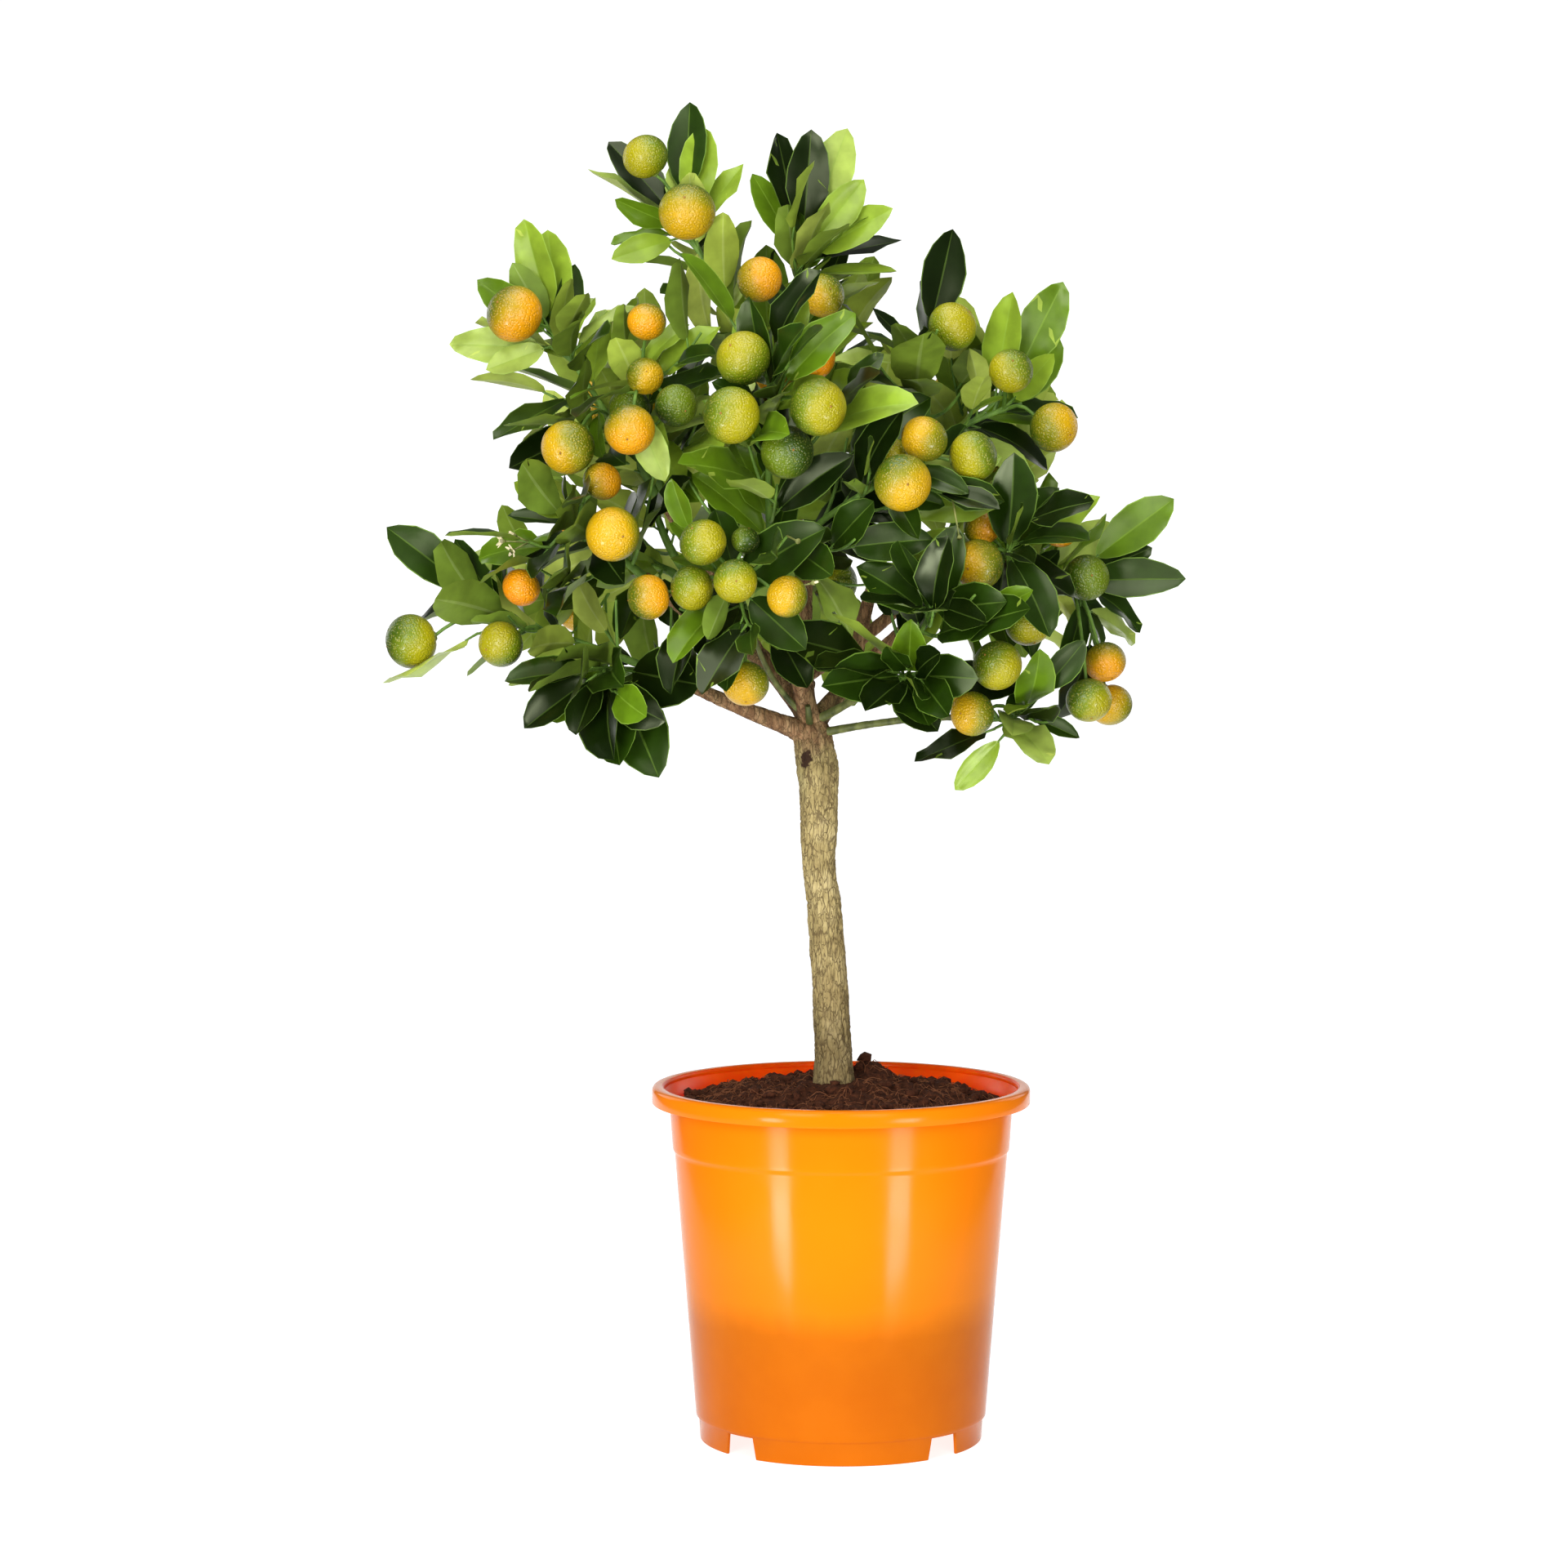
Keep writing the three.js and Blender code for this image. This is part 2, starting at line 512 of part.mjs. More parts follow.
// The leaders that leave one bough's tip, each starting just clear of it.
function leadersOf(bough, masses) {
  const end = bough.curve.getPointAt(1);
  const along = bough.curve.getTangentAt(1);
  const headings = masses.map((mass) => new THREE.Vector3(...mass.tip).sub(end));
  const turns = forkTurns(along, headings);
  const spread = masses.length > 1 ? FORK.spread : 0;
  return masses.map((mass, i) => {
    const start = end.clone().addScaledVector(along, CLEARANCE + FORK.clear);
    start.addScaledVector(around(along, turns[i]), spread);
    const control = start.clone().addScaledVector(along, headings[i].length() * LEADER.pull);
    return new THREE.QuadraticBezierCurve3(start, control, new THREE.Vector3(...mass.tip));
  });
}

function stepsOf(twig) {
  return Math.max(1, Math.round(twig.getLength() / TWIG_STEP));
}

// The place at a share of a twig's length, on the straight stretches that its solid has.
function onTwig(twig, share) {
  const steps = stepsOf(twig);
  const low = Math.min(steps - 1, Math.floor(share * steps));
  return twig.getPointAt(low / steps).lerp(twig.getPointAt((low + 1) / steps), share * steps - low);
}

// Points along a twig's straight stretches, no further apart than `spacing`.
function pointsOn(twig, spacing) {
  const count = Math.max(2, Math.ceil(twig.getLength() / spacing));
  return Array.from({ length: count + 1 }, (_, i) => onTwig(twig, i / count));
}

// The share of a leader that comes nearest to a place.
function nearestShare(leader, place) {
  let nearest = 1;
  for (let share = NEAREST.from; share <= 1; share += NEAREST.step) {
    if (onTwig(leader, share).distanceTo(place) < onTwig(leader, nearest).distanceTo(place)) {
      nearest = share;
    }
  }
  return nearest;
}

// The twig that carries a fruit leaves the leader short of the fruit and bows up to it.
function stalkTo(leader, { centre, radius }) {
  const start = onTwig(leader, Math.max(STALK.first, nearestShare(leader, centre) - STALK.lead));
  const length = start.distanceTo(centre);
  const end = centre.clone().lerp(start, (STALK.sunk * radius) / length);
  const middle = start.clone().lerp(end, 0.5);
  middle.z += STALK.rise * length;
  return bow(start, middle, end);
}

// The shoot whose last leaf ends at `aim`: it curves towards it and stops a leaf's length short.
function aimedShoot(leader, aim) {
  const nearest = nearestShare(leader, aim);
  const gap = onTwig(leader, nearest).distanceTo(aim);
  const share = Math.max(STALK.first, nearest - (AIMED_SHOOT.lead * gap) / leader.getLength());
  const start = onTwig(leader, share);
  const pull = AIMED_SHOOT.pull * start.distanceTo(aim);
  const control = start.clone().addScaledVector(leader.getTangentAt(share), pull);
  const whole = new THREE.QuadraticBezierCurve3(start, control, aim);
  const leaf = AIMED_SHOOT.leaf * GROWTH.leafLength;
  const kept = Math.max(AIMED_SHOOT.least, 1 - leaf / whole.getLength());
  return new THREE.QuadraticBezierCurve3(start, start.clone().lerp(control, kept), whole.getPoint(kept));
}

// The fruit of a mass that bears by rule: spaced along its leader, and outwards from it.
function fruitOf(mass, leader, dice) {
  return Array.from({ length: mass.bears || 0 }, (_, i) => {
    const share = mix(FRUIT.first, 1, (i + 0.5) / mass.bears);
    const centre = onTwig(leader, share);
    const way = centre.clone().sub(CROWN_HEART).normalize();
    way.addScaledVector(around(leader.getTangentAt(share), i * FRUIT.turn), FRUIT.sideways).normalize();
    centre.addScaledVector(way, mix(FRUIT.nearest, FRUIT.furthest, dice()));
    return { centre, radius: (FRUIT.smallest + FRUIT.spread * dice()) / 2 };
  });
}

// What every mass is made of before its leaves: its leader, its aimed shoots and the twigs to
// its fruit, and the places along them that are its own.
function plan(limbs) {
  const leaders = new Map();
  for (const { name } of BOUGHS) {
    const grown = MASSES.filter((mass) => mass.bough === name);
    leadersOf(limbs.get(name), grown).forEach((leader, i) => leaders.set(grown[i].name, leader));
  }
  return MASSES.map((mass, index) => {
    const leader = leaders.get(mass.name);
    const dice = makeDice(GROWTH.seed + GROWTH.seedStep * index);
    const fruit = mass.fruit.map(([x, y, z, diameter]) => ({
      centre: new THREE.Vector3(x, y, z),
      radius: diameter / 2,
    }));
    fruit.push(...fruitOf(mass, leader, dice));
    const stalks = fruit.map((hung) => stalkTo(leader, hung));
    const aims = (mass.aims || []).map((aim) => new THREE.Vector3(...aim));
    const aimed = aims.map((aim) => ({ curve: aimedShoot(leader, aim), aim }));
    const lines = [leader, ...stalks, ...aimed.map(({ curve }) => curve)];
    const ground = lines.flatMap((curve) => pointsOn(curve, GROWTH.groundStep));
    ground.push(...fruit.map((hung) => hung.centre), ...aims);
    return { ...mass, index, dice, leader, fruit, stalks, aimed, ground };
  });
}

function distanceTo(points, place) {
  return Math.min(...points.map((point) => point.distanceTo(place)));
}

// Tells whether a place is in a mass's own space, and clear of every limb and fruit.
function makeRoom(masses, limbs) {
  const limbPoints = [...limbs.values()].flatMap((limb) => {
    const count = Math.ceil(limb.curve.getLength() / LIMB_STEP);
    return limb.curve.getSpacedPoints(count).map((point, i) => ({ point, radius: limb.radius(i / count) }));
  });
  const ownSpace = (place, mass, margin) => {
    const own = distanceTo(mass.ground, place) + margin;
    return masses.every((other) => other === mass || distanceTo(other.ground, place) >= own);
  };
  const offLimbs = (place, gap) => limbPoints.every(({ point, radius }) => point.distanceTo(place) > radius + gap);
  const offFruit = (place, gap) => masses.every((mass) =>
    mass.fruit.every(({ centre, radius }) => centre.distanceTo(place) > radius + gap));
  return { ownSpace, offLimbs, offFruit };
}

// Whether a place is seen inside the outline of the crown's body.
function inCrown(place) {
  const scale = FRONT_VIEW.distance / (FRONT_VIEW.distance + place.y);
  const x = mix(FRONT_VIEW.x, place.x, scale);
  const z = mix(FRONT_VIEW.height, place.z, scale);
  const crossed = CROWN_OUTLINE.filter(([fromX, fromZ], i) => {
    const [toX, toZ] = CROWN_OUTLINE[(i + 1) % CROWN_OUTLINE.length];
    return fromZ > z !== toZ > z && x < fromX + ((z - fromZ) * (toX - fromX)) / (toZ - fromZ);
  });
  return crossed.length % 2 === 1;
}

// ---------------------------------------------------------------- leaves

// A folded blade of six faces, one unit long and wide, from its root at the origin.
function leafBlank() {
  const root = [0, 0, 0];
  const tip = [1, 0, -BLADE.droop];
  const left = [BLADE.widest, 0.5, BLADE.edge];
  const right = [BLADE.widest, -0.5, BLADE.edge];
  const keel = BLADE.keel;
  const faces = [
    [root, tip, left], [root, right, tip],
    [root, left, keel], [keel, left, tip],
    [root, keel, right], [keel, tip, right],
  ];
  const blade = new THREE.BufferGeometry();
  blade.setAttribute("position", new THREE.Float32BufferAttribute(faces.flat(2), 3));
  return blade;
}

const LEAF_BLANK = leafBlank();
const LEAF_PROBES = [[0.3, 0], [0.5, 0], [0.75, 0], [1, 0], [0.42, 0.5], [0.42, -0.5], [0.42, 0.25], [0.42, -0.25],
  [0.72, 0.24], [0.72, -0.24]];

// Where a leaf lies: its root, its long axis, its side and its upper face's normal.
function leafFrame(root, axis, light, length, sunk) {
  const normal = light.clone().addScaledVector(axis, -light.dot(axis)).normalize();
  const side = new THREE.Vector3().crossVectors(normal, axis);
  const frame = { root, axis, side, normal, length, sunk, width: length * GROWTH.leafWidth };
  frame.outline = outlineOf(frame);
  return frame;
}

// What a leaf turns its upper face to: the light above and outside the crown.
function lightFor(root, axis, roll) {
  const light = root.clone().sub(CROWN_HEART).normalize().multiplyScalar(LIGHT.outward);
  light.z += LIGHT.up;
  return light.addScaledVector(around(axis, roll), LIGHT.roll);
}

function leafPlace(frame, along, across) {
  const place = frame.root.clone().addScaledVector(frame.axis, along * frame.length);
  place.addScaledVector(frame.side, across * frame.width);
  const lift = BLADE.fold * Math.abs(across) - BLADE.droop * along;
  return place.addScaledVector(frame.normal, lift * frame.width);
}

function leafSolid(frame) {
  const basis = new THREE.Matrix4().makeBasis(
    frame.axis.clone().multiplyScalar(frame.length + frame.sunk),
    frame.side.clone().multiplyScalar(frame.width),
    frame.normal.clone().multiplyScalar(frame.width),
  );
  basis.setPosition(frame.root.clone().addScaledVector(frame.axis, -frame.sunk));
  return solidOf(LEAF_BLANK.clone().applyMatrix4(basis));
}

// A leaf's outline as corners: its root, its left, its tip and its right.
function outlineOf(frame) {
  const corners = [[0, 0], [BLADE.widest, 0.5], [1, 0], [BLADE.widest, -0.5]];
  return corners.map(([along, across]) => leafPlace(frame, along, across));
}

function meets(from, to, [root, left, tip, right]) {
  const ray = new THREE.Ray(from, to.clone().sub(from).normalize());
  const length = from.distanceTo(to);
  return [[root, tip, left], [root, right, tip]].some((blade) => {
    const hit = ray.intersectTriangle(...blade, false, new THREE.Vector3());
    return hit !== null && hit.distanceTo(from) < length;
  });
}

function edgesOf(outline) {
  return outline.map((corner, i) => [corner, outline[(i + 1) % outline.length]]);
}

// Whether a leaf would cut through another leaf of its mass, or through one of its twigs.
function cutsThrough(outline, root, leaves, stitches) {
  const throughTwig = stitches.some(([from, to]) =>
    Math.min(from.distanceTo(root), to.distanceTo(root)) > BLADE.stitchFree && meets(from, to, outline));
  return throughTwig || leaves.some(({ outline: other }) =>
    edgesOf(outline).some(([from, to]) => meets(from, to, other)) ||
    edgesOf(other).some(([from, to]) => meets(from, to, outline)));
}

// An aimed leaf may stand out of the crown's body, and nearer to its neighbours.
function leafFits(frame, leaves, stitches, mass, room, aimed) {
  const middle = leafPlace(frame, 0.5, 0);
  const elbow = LEAF.elbowRoom * (aimed ? LEAF.aimedElbow : 1);
  if (leaves.some((other) => leafPlace(other, 0.5, 0).distanceTo(middle) < elbow)) {
    return false;
  }
  const clear = LEAF_PROBES.every(([along, across]) => {
    const place = leafPlace(frame, along, across);
    return (aimed || inCrown(place)) && room.ownSpace(place, mass, GROWTH.space) &&
      room.offLimbs(place, LEAF.offLimbs) && room.offFruit(place, LEAF.offFruit);
  });
  return clear && !cutsThrough(frame.outline, frame.root, leaves, stitches);
}

// One try at a leaf: `i` counts it along its twig, and `form` holds what the dice gave.
function leafTry(twig, mass, i, share, last, form, attempt) {
  const root = onTwig(twig.curve, share);
  const turn = twig.turn + (i + attempt * LEAF.tryTurn) * GROWTH.goldenAngle + form.sway;
  const lean = last ? LEAF.tipAngle : LEAF.angle - LEAF.straighten * attempt;
  const axis = leaning(twig.curve.getTangentAt(share), lean, turn);
  axis.z -= mass.sag * (last ? LEAF.tipSag : 1);
  axis.normalize();
  const length = form.length * (1 - GROWTH.shrink * attempt);
  return leafFrame(root, axis, lightFor(root, axis, form.roll), length, last ? ROOT_SUNK.end : ROOT_SUNK.side);
}

// The last leaf of an aimed shoot, which shows its upper face to the front.
function aimedLeaf({ curve, aim }) {
  const root = onTwig(curve, 1);
  const axis = aim.clone().sub(root);
  const light = new THREE.Vector3(0, -FRONT_LIGHT.front, FRONT_LIGHT.up);
  return leafFrame(root, axis.clone().normalize(), light, axis.length(), ROOT_SUNK.end);
}

// The leaves of one twig, from its tip down, turned by the golden angle and set where there is room.
// Tells whether the leaf at its tip found room.
function leavesOn(twig, leaves, stitches, mass, room) {
  const dice = mass.dice;
  const leafy = twig.curve.getLength() * (twig.until - twig.from);
  const count = Math.max(1, Math.round(leafy / LEAF.spacing));
  let tipped = false;
  for (let i = count - 1; i >= 0; i -= 1) {
    const last = i === count - 1 && twig.until === 1;
    const share = mix(twig.from, twig.until, count === 1 ? 1 : i / (count - 1));
    const form = {
      length: GROWTH.leafLength * mix(...LEAF.variety, dice()),
      roll: (dice() - 0.5) * LEAF.roll,
      sway: (dice() - 0.5) * LEAF.sway,
    };
    const aimed = last && twig.aim !== undefined;
    for (let attempt = 0; attempt < (aimed ? 1 : GROWTH.tries); attempt += 1) {
      const frame = aimed ? aimedLeaf(twig) : leafTry(twig, mass, i, share, last, form, attempt);
      if (leafFits(frame, leaves, stitches, mass, room, aimed)) {
        leaves.push(frame);
        tipped = tipped || last;
        break;
      }
    }
    if (aimed && !tipped) {
      return false;
    }
  }
  return tipped;
}

// ---------------------------------------------------------------- masses of foliage

function shootFits(curve, mass, room) {
  return pointsOn(curve, SHOOT.probeStep).slice(1).every((place) =>
    room.ownSpace(place, mass, SIDE_SHOOT.space) && room.offLimbs(place, SHOOT.offLimbs) &&
    room.offFruit(place, SHOOT.offFruit));
}

// One try at a side shoot, turned up at its end.
function sideShoot(mass, share, spread, turn) {
  const start = onTwig(mass.leader, share);
  const way = leaning(mass.leader.getTangentAt(share), SIDE_SHOOT.angle, turn);
  const end = start.clone().addScaledVector(way, spread);
  const middle = start.clone().lerp(end, 0.5);
  end.z += spread * SIDE_SHOOT.rise * (1 - Math.max(0, mass.sag));
  return bow(start, middle, end);
}

// The side shoots of a mass, shorter towards its tip.
function sideShoots(mass, room) {
  const shoots = [];
  const variety = () => mix(1 - SIDE_SHOOT.variety, 1 + SIDE_SHOOT.variety, mass.dice());
  for (let i = 0; i < mass.shoots; i += 1) {
    const share = mix(SIDE_SHOOT.first, SIDE_SHOOT.last, (i + 0.5) / mass.shoots);
    const spread = mass.reach * mix(SIDE_SHOOT.reachAtFoot, SIDE_SHOOT.reachAtTip, share) * variety();
    const sway = (mass.dice() - 0.5) * SIDE_SHOOT.sway;
    const turn = mass.index * SIDE_SHOOT.massTurn + i * GROWTH.goldenAngle + sway;
    for (let attempt = 0; attempt < GROWTH.tries; attempt += 1) {
      const shorter = spread * (1 - 2 * GROWTH.shrink * attempt);
      const curve = sideShoot(mass, share, shorter, turn + attempt * SIDE_SHOOT.tryTurn);
      if (shootFits(curve, mass, room)) {
        shoots.push(curve);
        break;
      }
    }
  }
  return shoots;
}

function fruitSolid({ centre, radius }) {
  const ball = new THREE.OctahedronGeometry(radius * FRUIT.swell, FRUIT.facets);
  ball.translate(centre.x, centre.y, centre.z);
  return solidOf(ball);
}

function twigSolid(curve, { sides, thick, thin }) {
  return tube(curve, (share) => mix(thick, thin, share), sides, stepsOf(curve));
}

// An aimed shoot is kept only where its last leaf finds room.
function growMass(mass, room) {
  const aimed = mass.aimed.filter(({ curve }) => shootFits(curve, mass, room)).map(({ curve, aim }, i) =>
    ({ curve, aim, from: AIMED_SHOOT.leafy, until: 1, turn: AIMED_SHOOT.turn * i }));
  const shoots = sideShoots(mass, room);
  const others = [
    { curve: mass.leader, from: LEADER.leafy, until: 1, turn: LEADER.turn * mass.index },
    ...mass.stalks.map((curve, i) => ({ curve, from: STALK.leafy, until: STALK.bare, turn: STALK.turn * i })),
    ...shoots.map((curve, i) => ({ curve, from: SIDE_SHOOT.leafy, until: 1, turn: SIDE_SHOOT.turn * i })),
  ];
  const stitches = [...aimed, ...others].flatMap(({ curve }) => {
    const points = pointsOn(curve, SHOOT.stitch);
    return points.slice(1).map((point, i) => [points[i], point]);
  });
  const leaves = [];
  const kept = aimed.filter((twig) => leavesOn(twig, leaves, stitches, mass, room));
  for (const twig of others) {
    leavesOn(twig, leaves, stitches, mass, room);
  }
  const thin = [...kept.map(({ curve }) => curve), ...shoots, ...mass.stalks];
  const solids = [
    twigSolid(mass.leader, LEADER),
    ...thin.map((curve) => twigSolid(curve, SHOOT)),
    ...mass.fruit.map(fruitSolid),
    ...leaves.map(leafSolid),
  ];
  return namedMesh(`foliage_${mass.name}`, mainBody(fuse(solids)), "foliage");
}

// ---------------------------------------------------------------- the whole plant

const plant = new THREE.Group();
plant.position.set(...PLANT_SHIFT);
plant.add(namedMesh("pot", makePot(), "pot"));
plant.add(namedMesh("soil", makeSoil(), "soil"));

const limbs = makeLimbs();
const pieces = cutLimbs(limbs);
plant.add(namedMesh("trunk", pieces.get("trunk"), "bark"));
for (const { name } of BOUGHS) {
  plant.add(namedMesh(`bough_${name}`, pieces.get(name), "bark"));
}

const masses = plan(limbs);
const room = makeRoom(masses, limbs);
for (const mass of masses) {
  plant.add(growMass(mass, room));
}

export default plant;
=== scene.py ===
"""Blender looks for a potted calamondin orange tree.

Places and lengths are in millimetres, measured from the middle of the pot's foot, with +Z up
and the viewer in front at -Y. `Ground` turns them into metres in the frame of the solids.
The finishes work in those metres, as their patterns read Object coordinates.
The plant grows by the same rule as its solids, carried on to finer shoots and more leaves.
"""

from __future__ import annotations

import json
import logging
import math
from dataclasses import dataclass, field, replace
from enum import Enum

import bmesh
import bpy
import numpy as np
from mathutils import Matrix, Vector, noise
from mathutils.bvhtree import BVHTree

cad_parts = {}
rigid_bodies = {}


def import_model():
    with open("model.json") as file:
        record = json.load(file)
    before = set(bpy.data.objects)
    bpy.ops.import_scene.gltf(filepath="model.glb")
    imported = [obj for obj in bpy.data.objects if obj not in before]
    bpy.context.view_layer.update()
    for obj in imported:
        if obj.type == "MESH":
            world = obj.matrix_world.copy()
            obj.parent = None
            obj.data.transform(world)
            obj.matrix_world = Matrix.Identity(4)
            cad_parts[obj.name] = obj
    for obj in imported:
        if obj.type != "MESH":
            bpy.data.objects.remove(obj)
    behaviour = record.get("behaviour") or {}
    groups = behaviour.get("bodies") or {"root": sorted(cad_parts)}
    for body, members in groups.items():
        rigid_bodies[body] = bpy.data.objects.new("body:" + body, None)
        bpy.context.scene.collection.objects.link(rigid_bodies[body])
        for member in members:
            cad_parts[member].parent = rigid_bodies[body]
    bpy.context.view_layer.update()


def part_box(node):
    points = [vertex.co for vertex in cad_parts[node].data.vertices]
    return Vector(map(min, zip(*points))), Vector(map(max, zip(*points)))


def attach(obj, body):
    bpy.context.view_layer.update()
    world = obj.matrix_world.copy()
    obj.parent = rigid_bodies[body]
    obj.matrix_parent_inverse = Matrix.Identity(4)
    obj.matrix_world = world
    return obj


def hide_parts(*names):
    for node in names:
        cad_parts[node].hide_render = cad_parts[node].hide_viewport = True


LOG = logging.getLogger("calamondin")
BODY = "root"
MM = 0.001
GOLDEN_ANGLE = 137.508

Array = np.ndarray
Place = tuple[float, float, float]
Tone = tuple[int, int, int]
Colour = tuple[float, float, float, float]
Arrays = tuple[Array, Array, Array, Array]
BMesh = bmesh.types.BMesh
Material = bpy.types.Material
Mesh = bpy.types.Mesh
Object = bpy.types.Object
Socket = bpy.types.NodeSocket
Inputs = dict[str | int, Socket | float | tuple]


# ---- small helpers


def rgb(tone: Tone, share: float = 1.0) -> Colour:
    """Turns a display colour into the linear colour that shaders take.

    Args:
        tone: its red, green and blue, from 0 to 255.
        share: how much of its light is left.

    Returns:
        The linear colour.
    """
    levels = [level / 255 for level in tone]
    linear = [level / 12.92 if level <= 0.04045 else ((level + 0.055) / 1.055) ** 2.4 for level in levels]
    return (*(level * share for level in linear), 1.0)


def tinted(tone: Tone, other: Tone, share: float) -> Tone:
    """Returns the display colour at a share of the way from one to another."""
    return tuple(round(mix(start, end, share)) for start, end in zip(tone, other))


def mix(start: float, end: float, share: float) -> float:
    """Returns the value at a share of the way from start to end."""
    return start + (end - start) * share


def unit(vector: Array) -> Array:
    """Returns the vector at length one."""
    return vector / np.linalg.norm(vector)


class Dice:
    """A small generator that gives the same numbers on every machine."""

    SPAN = 2**32

    def __init__(self, seed: int) -> None:
        """Starts the row of numbers at a seed."""
        self.state = seed % self.SPAN

    def roll(self) -> float:
        """Returns the next number, from 0 up to 1."""
        self.state = (self.state * 1664525 + 1013904223) % self.SPAN
        return self.state / self.SPAN

    def between(self, low: float, high: float) -> float:
        """Returns the next number, between low and high."""
        return mix(low, high, self.roll())

    def off(self, reach: float) -> float:
        """Returns the next number, up to half a reach on either side of 0."""
        return (self.roll() - 0.5) * reach


class Ground:
    """Where the plant stands in the frame of the solids."""

    def __init__(self) -> None:
        """Finds the pot's axis from its solid."""
        low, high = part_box("pot")
        self.axis = np.array([(low.x + high.x) / 2, (low.y + high.y) / 2, low.z])

    def metres(self, places: Array | Place) -> Array:
        """Turns places in the plant's millimetres into metres in the solids' frame."""
        return np.asarray(places, float) * MM + self.axis

    def place(self, bm: BMesh) -> None:
        """Moves a bmesh that was made in millimetres into the solids' frame."""
        bmesh.ops.scale(bm, vec=(MM, MM, MM), verts=bm.verts)
        bmesh.ops.translate(bm, vec=Vector(self.axis), verts=bm.verts)


# ---- materials


class Painter:
    """Lays out the nodes of one procedural material."""

    def __init__(self, name: str, **inputs: float | tuple) -> None:
        """Makes a Principled material.

        Args:
            name: the material's name.
            inputs: values for its shader, as `set` takes them.
        """
        self.material = bpy.data.materials.new(name)
        self.material.use_nodes = True
        self.set(**inputs)

    def feed(self, node: bpy.types.Node, inputs: Inputs) -> None:
        """Links or sets inputs of a node.

        Args:
            node: the node.
            inputs: for each input, by name or number, another node's output or a value.
        """
        for key, value in inputs.items():
            if isinstance(value, Socket):
                self.material.node_tree.links.new(value, node.inputs[key])
            else:
                node.inputs[key].default_value = value

    def set(self, **inputs: Socket | float | tuple) -> None:
        """Links or sets inputs of the shader, named with underscores for spaces."""
        shader = self.material.node_tree.nodes["Principled BSDF"]
        self.feed(shader, {name.replace("_", " "): value for name, value in inputs.items()})

    def node(self, kind: str, inputs: Inputs, **options: str) -> bpy.types.bpy_prop_collection:
        """Adds a node.

        Args:
            kind: its type's name, after the word ShaderNode.
            inputs: what `feed` gives it.
            options: its own options.

        Returns:
            Its outputs.
        """
        node = self.material.node_tree.nodes.new(f"ShaderNode{kind}")
        for option, value in options.items():
            setattr(node, option, value)
        self.feed(node, inputs)
        return node.outputs

    def place(self, along: float = 1) -> Socket:
        """Returns Object coordinates, with Z scaled so that a pattern is drawn out along it."""
        source = self.node("TexCoord", {})["Object"]
        return self.node("Mapping", {"Vector": source, "Scale": (1, 1, along)})["Vector"]

    def noise(self, vector: Socket, scale: float, detail: float = 3, roughness: float = 0.5) -> Socket:
        """Returns the value of a noise texture read at a vector."""
        inputs = {"Vector": vector, "Scale": scale, "Detail": detail, "Roughness": roughness}
        return self.node("TexNoise", inputs)["Fac"]

    def cells(self, vector: Socket, scale: float, feature: str) -> Socket:
        """Returns a distance in the cells of a Voronoi texture, to their edge or to their middle."""
        return self.node("TexVoronoi", {"Vector": vector, "Scale": scale}, feature=feature)["Distance"]

    def warped(self, vector: Socket, scale: float, reach: float) -> Socket:
        """Returns a vector pushed about by a noise of some scale, by a reach in metres."""
        push, reaches = self.node("TexNoise", {"Vector": vector, "Scale": scale})["Color"], (reach,) * 3
        return self.node("VectorMath", {0: push, 1: reaches, 2: vector}, operation="MULTIPLY_ADD")["Vector"]

    def height(self, vector: Socket) -> Socket:
        """Returns a vector's third number."""
        return self.node("SeparateXYZ", {"Vector": vector})[2]

    def distance(self, vector: Socket, place: Place) -> Socket:
        """Returns how far a vector is from a place."""
        return self.node("VectorMath", {0: vector, 1: place}, operation="DISTANCE")["Value"]

    def attribute(self, name: str) -> Socket:
        """Returns the value of one of the mesh's own attributes."""
        return self.node("Attribute", {}, attribute_name=name)["Fac"]

    def math(self, operation: str, first: Socket, second: Socket | float) -> Socket:
        """Returns a Math node's result."""
        return self.node("Math", {0: first, 1: second}, operation=operation)["Value"]

    def span(self, value: Socket, low: float, high: float, to_low: float = 0, to_high: float = 1) -> Socket:
        """Returns the value with low to high spread over a new range, and held inside it."""
        limits = {"From Min": low, "From Max": high, "To Min": to_low, "To Max": to_high}
        return self.node("MapRange", {"Value": value, **limits})["Result"]

    def wander(self, pattern: Socket, reach: float) -> Socket:
        """Returns a noise's value as a reach on either side of 0."""
        return self.span(pattern, 0.3, 0.7, -reach, reach)

    def ramp(self, value: Socket, *stops: tuple[float, Colour]) -> Socket:
        """Picks a colour from a ramp.

        Args:
            value: the socket that picks.
            stops: each stop's place from 0 to 1, and its colour.

        Returns:
            The colour.
        """
        colour = self.node("ValToRGB", {"Fac": value})["Color"]
        elements = colour.node.color_ramp.elements
        while len(elements) < len(stops):
            elements.new(0.5)
        for element, (place, stop) in zip(elements, stops):
            element.position = place
            element.color = stop
        return colour

    def grain(self, pattern: Socket, dark: Colour, pale: Colour, half: float = 0.15) -> None:
        """Sends a grain of two colours to the shader, which blend over a half width about 0.5."""
        self.set(Base_Color=self.ramp(pattern, (0.5 - half, dark), (0.5 + half, pale)))

    def blend(self, share: Socket, first: Socket | Colour, second: Socket | Colour) -> Socket:
        """Returns a colour between two, picked by a share."""
        return self.node("Mix", {"Factor": share, 6: first, 7: second}, data_type="RGBA")[2]

    def bump(self, height: Socket, depth: float, strength: float) -> None:
        """Sends a bump to the shader, with its depth in metres."""
        relief = self.node("Bump", {"Height": height, "Distance": depth, "Strength": strength})
        self.set(Normal=relief["Normal"])


